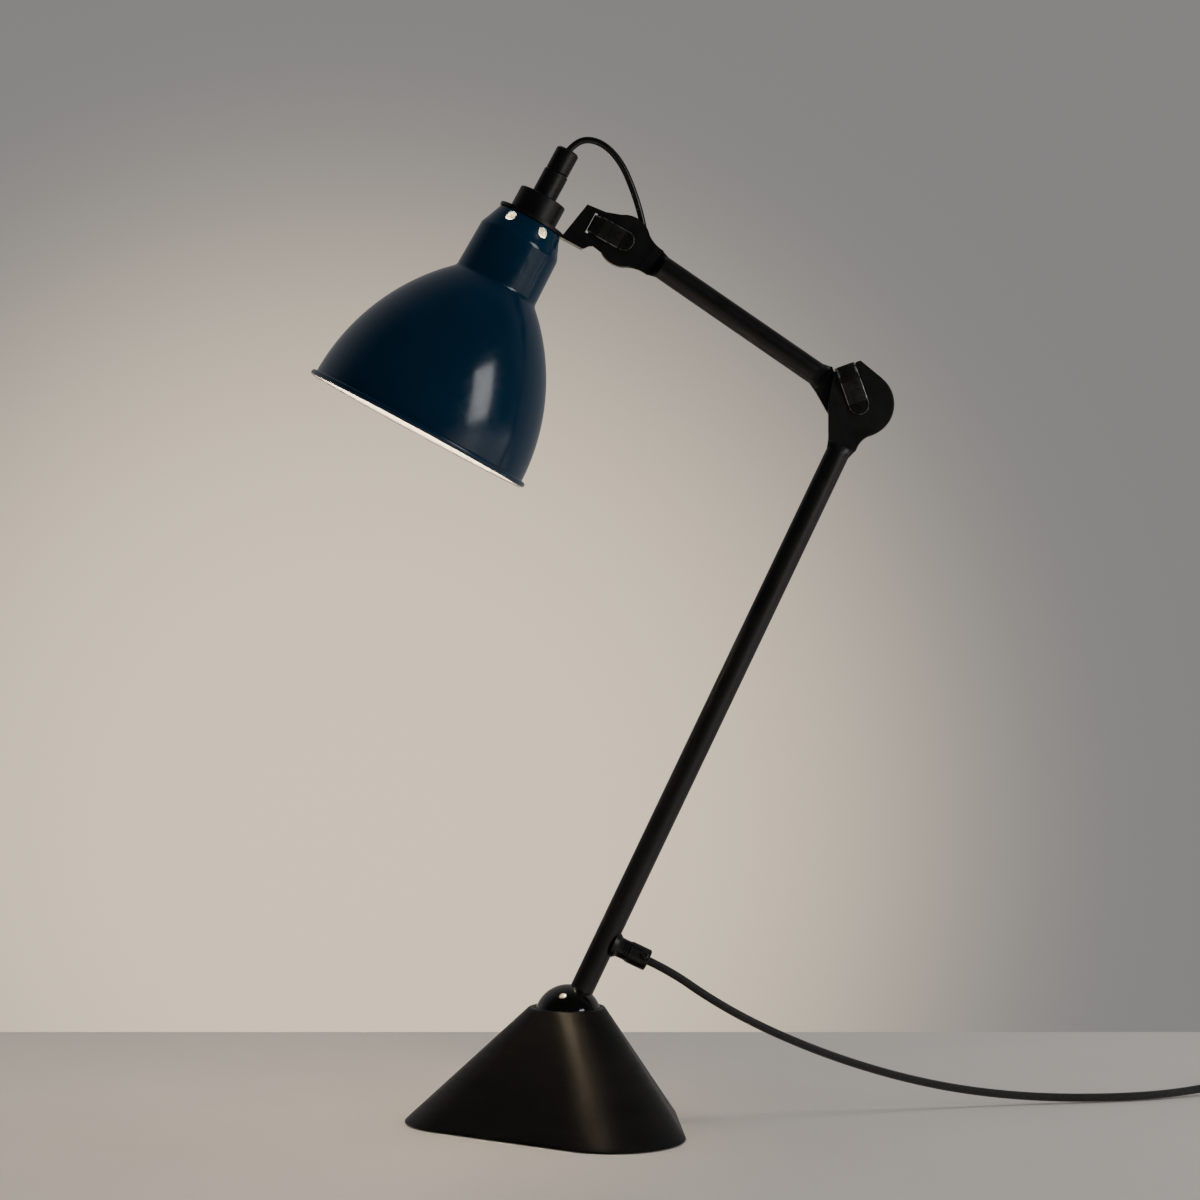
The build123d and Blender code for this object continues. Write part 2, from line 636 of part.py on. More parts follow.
with BuildPart() as shade_ring:
    with BuildSketch(head.offset(-6.2)):
        Circle(17.4)
        Circle(HOLDER_R, mode=Mode.SUBTRACT)
    extrude(amount=6.2 - SHADE_T)
    with BuildSketch(head.offset(-6.2)):
        with PolarLocations(17.9, 24):
            Circle(1.0)
    extrude(amount=6.2 - SHADE_T, mode=Mode.SUBTRACT)


# ---- cords ----
def radii(points):
    """The largest arc that each corner of a route has room for."""
    vectors = [Vector(*p) for p in points]
    out = []
    for a, b, c in zip(vectors, vectors[1:], vectors[2:]):
        turn = radians((b - a).get_angle(c - b))
        out.append(0.45 * min((b - a).length, (c - b).length) / tan(turn / 2))
    return out


def report(name, path, points, radius, solid):
    """Prints a cord's tube: its length, its arcs and whether its volume is its section times its length."""
    length = sum(edge.length for edge in path.edges())
    ratio = solid.volume / (pi * radius**2 * length)
    print(name, "length", round(length, 1), "volume ratio", round(ratio, 4), "radii",
          [round(r, 1) for r in radii(points)])


cap_hole = at(head, 0, 0, GRIP_TOP)
wire_mouth = grommet_plane.origin + way_out * GROMMET_END
before_mouth = wire_mouth + way_out * 8.5
HEAD_CORD_ROUTE = [
    (cap_hole.X, cap_hole.Y, cap_hole.Z), (4.9, 0.4, 576.4), (13.0, 1.2, 578.4), (22.6, 2.4, 574.6),
    (31.6, 3.8, 564.6), (38.0, 5.2, 550.2), (42.8, 7.0, 535.5), (45.6, 9.6, 521.5), (48.4, 13.2, 511.2),
    (before_mouth.X, before_mouth.Y, before_mouth.Z), (wire_mouth.X, wire_mouth.Y, wire_mouth.Z),
]
with BuildPart() as head_cord:
    with BuildLine() as head_cord_path:
        FilletPolyline(*HEAD_CORD_ROUTE, radius=radii(HEAD_CORD_ROUTE))
    with BuildSketch(Plane(origin=head_cord_path.line @ 0, z_dir=head_cord_path.line % 0)):
        Circle(HEAD_CORD_R)
    sweep()

mouth = at(branch, 0, 0, CAP_END)
past_mouth = at(branch, 0, 0, CAP_END + 15)
SWITCH_HEADING = 24.0
SWITCH_FRONT = (418.0, 99.0)
SWITCH_AXIS = 5.4  # height of the cord where it enters
switch = Plane(origin=(SWITCH_FRONT[0], SWITCH_FRONT[1], 0),
               x_dir=(cos(radians(SWITCH_HEADING)), sin(radians(SWITCH_HEADING)), 0), z_dir=(0, 0, 1))
before_switch = at(switch, -15, 0, SWITCH_AXIS)
MAINS_ROUTE = [
    (mouth.X, mouth.Y, mouth.Z), (past_mouth.X, past_mouth.Y, past_mouth.Z), (82.5, 6.0, 72.4),
    (108.0, 14.5, 56.8), (138.0, 22.5, 42.2), (168.5, 30.5, 29.9), (199.5, 38.0, 19.8),
    (230.5, 45.5, 12.0), (262.0, 53.0, 6.6), (293.5, 59.5, 3.5), (325.0, 64.0, 2.5),
    (357.0, 71.0, 2.6), (386.0, 84.6, 3.4),
    (before_switch.X, before_switch.Y, before_switch.Z), (SWITCH_FRONT[0], SWITCH_FRONT[1], SWITCH_AXIS),
]
with BuildPart() as mains_cord:
    with BuildLine() as mains_path:
        FilletPolyline(*MAINS_ROUTE, radius=radii(MAINS_ROUTE))
    with BuildSketch(Plane(origin=mains_path.line @ 0, z_dir=mains_path.line % 0)):
        Circle(LEAD_R)
    sweep()

# in-line rocker switch
SEAM = 6.5
ROCKER_L, ROCKER_W = 16.0, 10.0
ROCKER_PIVOT = 11.5
ROCKER_TILT = 7.0
WALL = 2.0


def switch_outline(plane, inset=0.0):
    with BuildSketch(plane) as outline:
        with Locations((SWITCH_L / 2, 0)):
            RectangleRounded(SWITCH_L - 2 * inset, SWITCH_W - 2 * inset, 9 - inset)
    return outline.sketch


with BuildPart() as switch_lower_shell:
    add(switch_outline(switch))
    extrude(amount=SEAM)
    chamfer(switch_lower_shell.faces().sort_by(Axis.Z)[0].edges(), 1.0)
    add(switch_outline(switch.offset(WALL), WALL))
    extrude(amount=SEAM, mode=Mode.SUBTRACT)
    with BuildSketch(Plane(origin=at(switch, -1, 0, SWITCH_AXIS), z_dir=switch.x_dir)):
        Circle(LEAD_R)
    extrude(amount=SWITCH_L + 2, mode=Mode.SUBTRACT)

with BuildPart() as switch_upper_shell:
    add(switch_outline(switch.offset(SEAM)))
    extrude(amount=SWITCH_H - SEAM)
    fillet(switch_upper_shell.faces().sort_by(Axis.Z)[-1].edges(), 2.4)
    add(switch_outline(switch.offset(SEAM), WALL))
    extrude(amount=SWITCH_H - SEAM - WALL, mode=Mode.SUBTRACT)
    with BuildSketch(switch.offset(SEAM)):
        with Locations((SWITCH_L / 2, 0)):
            Rectangle(ROCKER_L + 1.8, ROCKER_W + 0.8)
    extrude(amount=SWITCH_H, mode=Mode.SUBTRACT)
    with BuildSketch(Plane(origin=at(switch, -1, 0, SWITCH_AXIS), z_dir=switch.x_dir)):
        Circle(LEAD_R)
    extrude(amount=SWITCH_L + 2, mode=Mode.SUBTRACT)
    with BuildSketch(switch.offset(SEAM)):
        with Locations((10, 0), (SWITCH_L - 10, 0)):
            Circle(1.3)
    extrude(amount=SWITCH_H, mode=Mode.SUBTRACT)
    with BuildSketch(switch.offset(SWITCH_H - 1.2)):
        with Locations((10, 0), (SWITCH_L - 10, 0)):
            Circle(2.8)
    extrude(amount=SWITCH_H, mode=Mode.SUBTRACT)

with BuildPart() as switch_screws:
    for x in (10, SWITCH_L - 10):
        with BuildSketch(switch.offset(SWITCH_AXIS + LEAD_R + 0.2)):
            with Locations((x, 0)):
                Circle(1.2)
        extrude(amount=SWITCH_H - 1.2 - SWITCH_AXIS - LEAD_R - 0.2)
        with BuildSketch(switch.offset(SWITCH_H - 1.2)):
            with Locations((x, 0)):
                Circle(2.5)
        extrude(amount=1.0)
        with BuildSketch(switch.offset(SWITCH_H - 0.7)):
            with Locations((x, 0)):
                Rectangle(5.2, 0.7)
                Rectangle(0.7, 5.2)
        extrude(amount=1.0, mode=Mode.SUBTRACT)

rocker_turn = Plane(origin=at(switch, SWITCH_L / 2, 0, ROCKER_PIVOT),
                    x_dir=along(switch, cos(radians(ROCKER_TILT)), 0, sin(radians(ROCKER_TILT))),
                    z_dir=along(switch, -sin(radians(ROCKER_TILT)), 0, cos(radians(ROCKER_TILT))))
with BuildPart() as switch_rocker:
    with BuildSketch(Plane(origin=rocker_turn.origin, x_dir=rocker_turn.x_dir, z_dir=-rocker_turn.y_dir)):
        with BuildLine():
            crown = ThreePointArc((-ROCKER_L / 2, 4.9), (0, 3.9), (ROCKER_L / 2, 4.9))
            Polyline(crown @ 1, (ROCKER_L / 2, 0), (3, -3), (-3, -3), (-ROCKER_L / 2, 0), crown @ 0)
        make_face()
    extrude(amount=ROCKER_W / 2, both=True)
    fillet(switch_rocker.edges().filter_by(GeomType.CIRCLE), 0.6)
    with BuildSketch(Plane(origin=rocker_turn.origin, z_dir=rocker_turn.y_dir)):
        Circle(1.2, mode=Mode.ADD)
    extrude(amount=ROCKER_W / 2 + 1.5, both=True)

# from the switch round into the coil
switch_back = at(switch, SWITCH_L, 0, SWITCH_AXIS)
ENTRY = 18.0  # where the cord joins the coil, around its centre
LEAVE = -32.0


def on_coil(angle, height, past=0.0):
    """A point on the middle of the coil's turns, or past it along the clockwise tangent."""
    x = COIL_CENTRE[0] + COIL_TURN_R * cos(radians(angle)) + past * sin(radians(angle))
    y = COIL_CENTRE[1] + COIL_TURN_R * sin(radians(angle)) - past * cos(radians(angle))
    return (x, y, height)


SWITCH_LEAD_ROUTE = [
    (switch_back.X, switch_back.Y, switch_back.Z), (481.0, 127.1, 5.2), (493.0, 130.8, 4.4),
    (505.2, 127.2, 3.6), (512.6, 116.8, 3.2), (514.4, 103.2, 3.4), (512.6, 88.6, 4.0),
    on_coil(ENTRY, 5.0, -3),
]
with BuildPart() as switch_lead:
    with BuildLine() as switch_lead_path:
        FilletPolyline(*SWITCH_LEAD_ROUTE, radius=radii(SWITCH_LEAD_ROUTE))
    with BuildSketch(Plane(origin=switch_lead_path.line @ 0, z_dir=switch_lead_path.line % 0)):
        Circle(LEAD_R)
    sweep()

with BuildPart() as cord_coil:
    with BuildSketch(Plane.XZ.offset(-COIL_CENTRE[1])):
        inner = COIL_CENTRE[0] + COIL_TURN_R - COIL_HALF
        outer = COIL_CENTRE[0] + COIL_TURN_R + COIL_HALF
        Polygon((inner, 0), (outer, 0), (outer, 6.5), (outer - 5, COIL_H), (inner + 5, COIL_H), (inner, 6.5),
                align=None)
    revolve(axis=Axis((COIL_CENTRE[0], COIL_CENTRE[1], 0), (0, 0, 1)))

TIE_AT, TIE_SWEEP = 150.0, 12.0
TIE_T = 0.8
tie_plane = Plane(origin=(COIL_CENTRE[0], COIL_CENTRE[1], 0),
                  x_dir=(cos(radians(TIE_AT)), sin(radians(TIE_AT)), 0),
                  z_dir=(sin(radians(TIE_AT)), -cos(radians(TIE_AT)), 0))


def coil_section(gap):
    """The coil's cross-section drawn out by gap, flat where it lies on the table."""
    low, high = COIL_TURN_R - COIL_HALF - gap, COIL_TURN_R + COIL_HALF + gap
    return [(low, 0), (high, 0), (high, 6.5 + gap), (high - 5, COIL_H + gap), (low + 5, COIL_H + gap),
            (low, 6.5 + gap)]


with BuildPart() as cord_tie:
    with BuildSketch(tie_plane):
        Polygon(*coil_section(TIE_T + 0.05), align=None)
        Polygon(*coil_section(0.05), align=None, mode=Mode.SUBTRACT)
    revolve(axis=Axis((COIL_CENTRE[0], COIL_CENTRE[1], 0), (0, 0, 1)), revolution_arc=TIE_SWEEP)

PLUG_START = 40.0  # length of cord between coil and plug
PLUG_AXIS = 6.9
plug_root = Vector(*on_coil(LEAVE, PLUG_AXIS, PLUG_START))
plug_heading = Vector(sin(radians(LEAVE)), -cos(radians(LEAVE)), 0)
plug = Plane(origin=plug_root, x_dir=(0, 0, 1), z_dir=plug_heading)
PLUG_LEAD_ROUTE = [
    on_coil(LEAVE, 4.0, 2), on_coil(LEAVE + 3, 3.4, 11.5), on_coil(LEAVE - 1, 4.6, 22),
    on_coil(LEAVE, PLUG_AXIS, 32), (plug_root.X, plug_root.Y, plug_root.Z),
]
with BuildPart() as plug_lead:
    with BuildLine() as plug_lead_path:
        FilletPolyline(*PLUG_LEAD_ROUTE, radius=radii(PLUG_LEAD_ROUTE))
    with BuildSketch(Plane(origin=plug_lead_path.line @ 0, z_dir=plug_lead_path.line % 0)):
        Circle(LEAD_R)
    sweep()

RELIEF = 14.0
with BuildPart() as plug_body:
    with BuildSketch(plug) as relief_root:
        Circle(LEAD_R + 1.0)
    with BuildSketch(plug.offset(RELIEF)) as relief_end:
        Circle(5.2)
    loft([relief_root.sketch, relief_end.sketch])
    with BuildSketch(plug.offset(RELIEF)) as plug_back:
        RectangleRounded(12.0, 14, 4)
    with BuildSketch(plug.offset(RELIEF + 12)) as plug_waist:
        RectangleRounded(13.6, 30, 5)
    loft([plug_back.sketch, plug_waist.sketch])
    with BuildSketch(plug.offset(RELIEF + 12)):
        RectangleRounded(13.6, 30, 5)
    extrude(amount=PLUG_L - RELIEF - 12)
    fillet(plug_body.faces().sort_by(Axis(plug.origin, plug.z_dir))[-1].edges(), 1.0)

with BuildPart() as plug_pins:
    for y in (-PIN_PITCH / 2, PIN_PITCH / 2):
        with BuildSketch(plug.offset(PLUG_L)):
            with Locations((0, y)):
                Circle(2.0)
        extrude(amount=PIN_L)
    fillet(plug_pins.faces().group_by(Axis(plug.origin, plug.z_dir))[-1].edges(), 1.2)

report("head_cord", head_cord_path, HEAD_CORD_ROUTE, HEAD_CORD_R, head_cord.part)
report("mains_cord", mains_path, MAINS_ROUTE, LEAD_R, mains_cord.part)
report("switch_lead", switch_lead_path, SWITCH_LEAD_ROUTE, LEAD_R, switch_lead.part)
report("plug_lead", plug_lead_path, PLUG_LEAD_ROUTE, LEAD_R, plug_lead.part)

# ---- write every piece to its own file ----
PIECES = {
    "base_skirt": base_skirt, "base_weight": base_weight, "bottom_plate": bottom_plate,
    "plate_screws": plate_screws, "foot_pad": foot_pad, "spring_plug": spring_plug,
    "disc_springs": disc_springs, "friction_cup": friction_cup, "base_ball": base_ball,
    "lower_tube": lower_tube, "tube_plug": tube_plug, "ball_screw": ball_screw,
    "lower_elbow_plate": lower_elbow_plate, "cord_branch": cord_branch, "gland_cap": gland_cap,
    "gland_screw": gland_screw, "lower_wire": lower_wire, "elbow_pin": elbow_pin,
    "elbow_washer": elbow_washer, "elbow_clip": elbow_clip, "upper_tube": upper_tube,
    "upper_elbow_plate": upper_elbow_plate, "upper_head_plate": upper_head_plate,
    "wire_grommet": wire_grommet, "upper_wire": upper_wire, "head_bracket": head_bracket,
    "head_pin": head_pin, "head_washer": head_washer, "head_clip": head_clip,
    "lampholder_body": lampholder_body, "lampholder_collar": lampholder_collar, "stem_tube": stem_tube,
    "cord_grip_cap": cord_grip_cap, "screw_shell": screw_shell, "centre_contact": centre_contact,
    "bulb_cap": bulb_cap, "bulb_glass": bulb_glass, "shade": shade, "shade_ring": shade_ring,
    "head_cord": head_cord, "mains_cord": mains_cord, "switch_lower_shell": switch_lower_shell,
    "switch_upper_shell": switch_upper_shell, "switch_screws": switch_screws,
    "switch_rocker": switch_rocker, "switch_lead": switch_lead, "cord_coil": cord_coil,
    "cord_tie": cord_tie, "plug_lead": plug_lead, "plug_body": plug_body, "plug_pins": plug_pins,
}
for name, piece in PIECES.items():
    piece.part.label = name
    export_step(piece.part, f"parts/{name}.step")
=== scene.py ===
import json
import math

import bmesh
import bpy
from mathutils import Matrix, Vector


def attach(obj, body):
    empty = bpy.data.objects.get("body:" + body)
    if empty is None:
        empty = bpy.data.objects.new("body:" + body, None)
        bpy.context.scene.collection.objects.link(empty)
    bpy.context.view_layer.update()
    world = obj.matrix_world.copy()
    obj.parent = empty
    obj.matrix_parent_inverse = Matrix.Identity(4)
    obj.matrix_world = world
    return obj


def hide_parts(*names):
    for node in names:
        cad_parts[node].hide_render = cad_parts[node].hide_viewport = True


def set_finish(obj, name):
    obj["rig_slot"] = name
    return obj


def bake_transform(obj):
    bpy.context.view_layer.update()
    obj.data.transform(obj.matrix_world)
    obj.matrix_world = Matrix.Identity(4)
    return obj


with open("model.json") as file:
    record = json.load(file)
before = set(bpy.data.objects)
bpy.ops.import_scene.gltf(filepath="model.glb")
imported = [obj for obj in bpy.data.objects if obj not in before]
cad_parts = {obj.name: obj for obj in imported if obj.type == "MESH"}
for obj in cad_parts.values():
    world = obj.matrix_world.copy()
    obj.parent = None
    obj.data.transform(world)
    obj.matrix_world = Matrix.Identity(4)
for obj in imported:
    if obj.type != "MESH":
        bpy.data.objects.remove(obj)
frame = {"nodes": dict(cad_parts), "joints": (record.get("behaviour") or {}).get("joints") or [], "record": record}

# Architect desk lamp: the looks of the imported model. Metres, +Z up, -Y is the lamp's front. Lengths
# written in millimetres are multiplied by MM.
MM = 0.001
SMOOTH_ANGLE = math.radians(35)  # edges flatter than this are smooth
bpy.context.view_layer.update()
nodes = frame["nodes"]
joint_at = {j["name"]: Vector(j["pos_m"]) for j in frame["joints"]}
slot_of = {part["node"]: part["material_slot"] for part in frame["record"]["subparts"]}
BALL = joint_at["base_swivel"]
ELBOW = joint_at["elbow_hinge"]
HEAD_PIVOT = joint_at["head_tilt"]


# ---- frames: each has +Y across the lamp, and z along an arm or the shade's axis ----
def leaning(origin, lean):
    """The matrix of a frame whose z axis leans from vertical towards +X, in degrees."""
    return Matrix.Translation(origin) @ Matrix.Rotation(math.radians(lean), 4, "Y")


LOWER_LEAN, UPPER_LEAN, HEAD_LEAN = 25.5, -55.4, 28.4  # degrees, at rest
LOWER = leaning(BALL, LOWER_LEAN)
UPPER = leaning(ELBOW, UPPER_LEAN)
PIVOT_OUT, PIVOT_UP = 54.2 * MM, 15.8 * MM  # the head pivot, from the centre of the shade's flat top
HEAD = leaning(HEAD_PIVOT, HEAD_LEAN) @ Matrix.Translation((-PIVOT_OUT, 0, -PIVOT_UP))


def at(matrix, x, y, z):
    """A point given in millimetres in one of those frames."""
    return matrix @ Vector((x * MM, y * MM, z * MM))


# ---- camera: level, in front of the lamp ----
CAMERA_AT = (0.0188, -1.61, 0.307)
SENSOR, LENS = 36, 82.1  # both in camera millimetres
camera = bpy.data.objects.new("camera", bpy.data.cameras.new("camera"))
camera.location = CAMERA_AT
camera.rotation_euler = (math.radians(90), 0, 0)
camera.data.sensor_width = SENSOR
camera.data.lens = LENS
bpy.context.scene.collection.objects.link(camera)
bpy.context.scene.camera = camera


# ---- meshes ----
def mesh_object(name, vertices, faces):
    """A closed mesh that is smooth except at its sharp edges."""
    mesh = bpy.data.meshes.new(name)
    mesh.from_pydata([tuple(v) for v in vertices], [], faces)
    work = bmesh.new()
    work.from_mesh(mesh)
    bmesh.ops.remove_doubles(work, verts=work.verts, dist=1e-7)
    bmesh.ops.recalc_face_normals(work, faces=work.faces)
    work.to_mesh(mesh)
    work.free()
    mesh.shade_smooth()
    mesh.set_sharp_from_angle(angle=SMOOTH_ANGLE)
    piece = bpy.data.objects.new(name, mesh)
    bpy.context.scene.collection.objects.link(piece)
    return piece


def skin(rings, closed=False):
    """Vertices and faces of a surface through rings of equal length. An open row of rings is capped."""
    count = len(rings[0])
    vertices = [v for ring in rings for v in ring]
    faces = []
    for i in range(len(rings) if closed else len(rings) - 1):
        a, b = i * count, (i + 1) % len(rings) * count
        for k in range(count):
            n = (k + 1) % count
            faces.append((a + k, a + n, b + n, b + k))
    if not closed:
        faces.append(tuple(range(count))[::-1])
        faces.append(tuple(range(len(vertices) - count, len(vertices))))
    return vertices, faces


def lathe(name, matrix, profile, segments=96):
    """A turned piece. Its closed profile is (radius, height) in millimetres, round the frame's z axis."""
    rings = []
    for k in range(segments):
        turn = 2 * math.pi * k / segments
        rings.append([Vector((r * math.cos(turn), r * math.sin(turn), z)) * MM for r, z in profile])
    piece = mesh_object(name, *skin(rings, closed=True))
    piece.matrix_world = matrix
    return piece


def arc(centre, radius, start, end, steps):
    """Points on a circle in the plane, from one angle in degrees to another."""
    out = []
    for k in range(steps + 1):
        turn = math.radians(start + (end - start) * k / steps)
        out.append((centre[0] + radius * math.cos(turn), centre[1] + radius * math.sin(turn)))
    return out


def rounded(points, radii, steps=8):
    """An open line whose inner corners are arcs of the given radii."""
    out = [Vector(points[0])]
    for before, corner, after, radius in zip(points, points[1:], points[2:], radii):
        corner = Vector(corner)
        a, b = (Vector(before) - corner).normalized(), (Vector(after) - corner).normalized()
        half = a.angle(b) / 2
        centre = corner + (a + b).normalized() * radius / math.sin(half)
        first, last = corner + a * radius / math.tan(half), corner + b * radius / math.tan(half)
        sweep = (first - centre).angle_signed(last - centre)
        for k in range(steps + 1):
            turn = Matrix.Rotation(-sweep * k / steps, 2)
            out.append(centre + turn @ (first - centre))
    out.append(Vector(points[-1]))
    return [tuple(p) for p in out]


# ---- cords ----
def route_line(name, points):
    """The smooth line of a route, read from its NURBS spline."""
    curve = bpy.data.curves.new(name, "CURVE")
    curve.dimensions = "3D"
    curve.resolution_u = 16
    spline = curve.splines.new("NURBS")
    spline.points.add(len(points) - 1)
    for point, place in zip(spline.points, points):
        point.co = (*[c * MM for c in place], 1)
    spline.order_u = 3
    spline.use_endpoint_u = True
    thread = bpy.data.objects.new(name, curve)
    mesh = bpy.data.meshes.new_from_object(thread)
    line = [v.co.copy() for v in mesh.vertices]
    # the curve was only a way to the line
    bpy.data.objects.remove(thread)
    bpy.data.curves.remove(curve)
    bpy.data.meshes.remove(mesh)
    return line


def length_of(line):
    return sum((b - a).length for a, b in zip(line, line[1:]))


def spaced(line, step):
    """The line's points again, evenly spaced along it."""
    count = max(2, round(length_of(line) / step))
    step = length_of(line) / count
    out, walked, goal = [line[0]], 0.0, step
    for a, b in zip(line, line[1:]):
        gap = (b - a).length
        while goal <= walked + gap + 1e-9 and len(out) < count:
            out.append(a.lerp(b, (goal - walked) / gap))
            goal += step
        walked += gap
    out.append(line[-1])
    return out


def tube(name, line, radius, sides, step, relief=None):
    """A cord's mesh along a line, and the centres of its rings, a step apart. relief(turn, along), if
    there is one, is added to the radius."""
    centres = spaced(line, step)
    rings, walked = [], 0.0
    side = None
    for i, centre in enumerate(centres):
        ahead = (centres[min(i + 1, len(centres) - 1)] - centres[max(i - 1, 0)]).normalized()
        if side is None:
            side = ahead.orthogonal().normalized()
        side = (side - ahead * side.dot(ahead)).normalized()
        up = ahead.cross(side)
        ring = []
        for k in range(sides):
            turn = 2 * math.pi * k / sides
            r = radius + (relief(turn, walked) if relief else 0.0)
            ring.append(centre + (side * math.cos(turn) + up * math.sin(turn)) * r)
        rings.append(ring)
        if i + 1 < len(centres):
            walked += (centres[i + 1] - centre).length
    return mesh_object(name, *skin(rings)), centres


BRAID_CARRIERS = 8  # strands each way round the lead
BRAID_PITCH = 9.0 * MM  # one strand's advance in a whole turn
BRAID_RELIEF = 0.13 * MM


def braid(turn, along):
    """Relief of a textile braid: two sets of crossing strands, each over the other in turn."""
    advance = 2 * math.pi * along / BRAID_PITCH
    right = math.cos(BRAID_CARRIERS * (turn + advance))
    left = math.cos(BRAID_CARRIERS * (turn - advance))
    over = math.sin(BRAID_CARRIERS * turn) * math.sin(BRAID_CARRIERS * advance)
    return BRAID_RELIEF * (0.5 * max(right, left) + 0.3 * over - 0.45)


LEAD_R = 2.5 * MM
HEAD_CORD_R = 2.0 * MM
# sides of each cord's rings, and the step between them
MAINS_MESH, COIL_MESH, HEAD_CORD_MESH = (32, 0.45 * MM), (20, 0.8 * MM), (24, 1.0 * MM)
GLAND_OUT, GLAND_UP = 27.9, 50.8  # the gland's mouth, from the lower arm's axis and from the ball
STRAIGHT = 15.0  # how far the lead keeps its direction outside the gland
MOUTH = at(LOWER, GLAND_OUT, 0, GLAND_UP)
PAST_MOUTH = at(LOWER, GLAND_OUT + STRAIGHT, 0, GLAND_UP)
ON_TABLE = (386.0, 84.6, 3.4)  # where the lead lies still while the arm moves
SWITCH_TURN = math.radians(24.0)
SWITCH_AT, SWITCH_L, SWITCH_AXIS = (418.0, 99.0), 58.0, 5.4  # its end, its length, its axis above the table


def on_switch(x):
    """A point on the switch's middle line, x millimetres past the end where the lead enters."""
    return (SWITCH_AT[0] + x * math.cos(SWITCH_TURN), SWITCH_AT[1] + x * math.sin(SWITCH_TURN), SWITCH_AXIS)


MAINS_ROUTE = [
    tuple(MOUTH / MM), tuple(PAST_MOUTH / MM), (82.5, 6.0, 72.4), (108.0, 14.5, 56.8), (138.0, 22.5, 42.2),
    (168.5, 30.5, 29.9), (199.5, 38.0, 19.8), (230.5, 45.5, 12.0), (262.0, 53.0, 6.6), (293.5, 59.5, 3.5),
    (325.0, 64.0, 2.6), (357.0, 71.0, 2.6), ON_TABLE, on_switch(-15), on_switch(0),
]
mains_line = route_line("mains_route", MAINS_ROUTE)

# the lead is cut into three pieces along X, one for each pair of parts in STEPS: the arm and the ball, the ball
# and the cup that swivels, the cup and the base
SPLIT_X = [-1.0, 95 * MM, 215 * MM, 1.0]  # the first and the last lie past the lead's two ends
STEPS = [("lower_arm", "ball"), ("ball", "ball_cup"), ("ball_cup", "base")]
cuts = [min(range(len(mains_line)), key=lambda i: abs(mains_line[i].x - x)) for x in SPLIT_X]
mains = []
for n, (a, b) in enumerate(STEPS):
    part = mains_line[cuts[n]:cuts[n + 1] + 1]
    piece, centres = tube(f"mains_lead_{n + 1}", part, LEAD_R, *MAINS_MESH, braid)
    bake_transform(piece)
    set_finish(piece, "mains_braid")
    mains.append(piece)
for piece in mains:
    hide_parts("mains_cord")

# from the switch into a tied coil and on to the plug: one cord
COIL_X, COIL_Y = 480.0, 60.0
ENTRY, LEAVE = 18.0, -32.0  # angles where the lead joins and leaves its turns
TURN_RINGS = [(34.0, 2.5), (29.0, 2.5), (24.0, 2.5), (26.5, 7.0), (31.5, 7.0), (29.0, 11.5)]  # radius, height
PER_TURN = 24  # points of the route for each turn
STEP_FROM = 300  # degrees of a turn after which it steps over to the next one
UNEVEN = 0.25  # how far the turns wander, in millimetres


def on_coil(angle, radius, height, past=0.0):
    """A point of the coil, or past it along the clockwise tangent."""
    c, s = math.cos(math.radians(angle)), math.sin(math.radians(angle))
    return (COIL_X + radius * c + past * s, COIL_Y + radius * s - past * c, height)


def coil_turns():
    """Clockwise turns, one for each ring, stepping from one to the next in the last sixth of a turn."""
    out = []
    total = len(TURN_RINGS) * 360 + ENTRY - LEAVE
    for k in range(1, int(total / 360 * PER_TURN) + 1):
        wound = 360 * k / PER_TURN
        turn = min(int(wound // 360), len(TURN_RINGS) - 1)
        radius, height = TURN_RINGS[turn]
        if turn + 1 < len(TURN_RINGS):
            share = max(0.0, (wound % 360 - STEP_FROM) / (360 - STEP_FROM))
            share = share * share * (3 - 2 * share)
            radius += (TURN_RINGS[turn + 1][0] - radius) * share
            height += (TURN_RINGS[turn + 1][1] - height) * share
        out.append(on_coil(ENTRY - wound, radius + UNEVEN * math.sin(k * 1.7), height))
    return out


END_ROUTE = [
    on_switch(SWITCH_L), (481.0, 127.1, 5.2), (493.0, 130.8, 4.4), (505.2, 127.2, 3.4), (512.6, 116.8, 2.8),
    (514.8, 103.2, 2.6), (514.4, 88.6, 2.6), on_coil(ENTRY, 34.3, 2.5),
] + coil_turns() + [
    on_coil(LEAVE, 29.2, 11.8, 8), on_coil(LEAVE, 29.0, 11.6, 16), on_coil(LEAVE, 29.0, 9.0, 24),
    on_coil(LEAVE, 29.0, 6.9, 32), on_coil(LEAVE, 29.0, 6.9, 40),
]
end_line = route_line("end_route", END_ROUTE)
end_lead, end_centres = tube("coiled_lead", end_line, LEAD_R, *COIL_MESH, braid)
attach(end_lead, "base")
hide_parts("switch_lead", "cord_coil", "plug_lead")
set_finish(end_lead, "mains_braid")

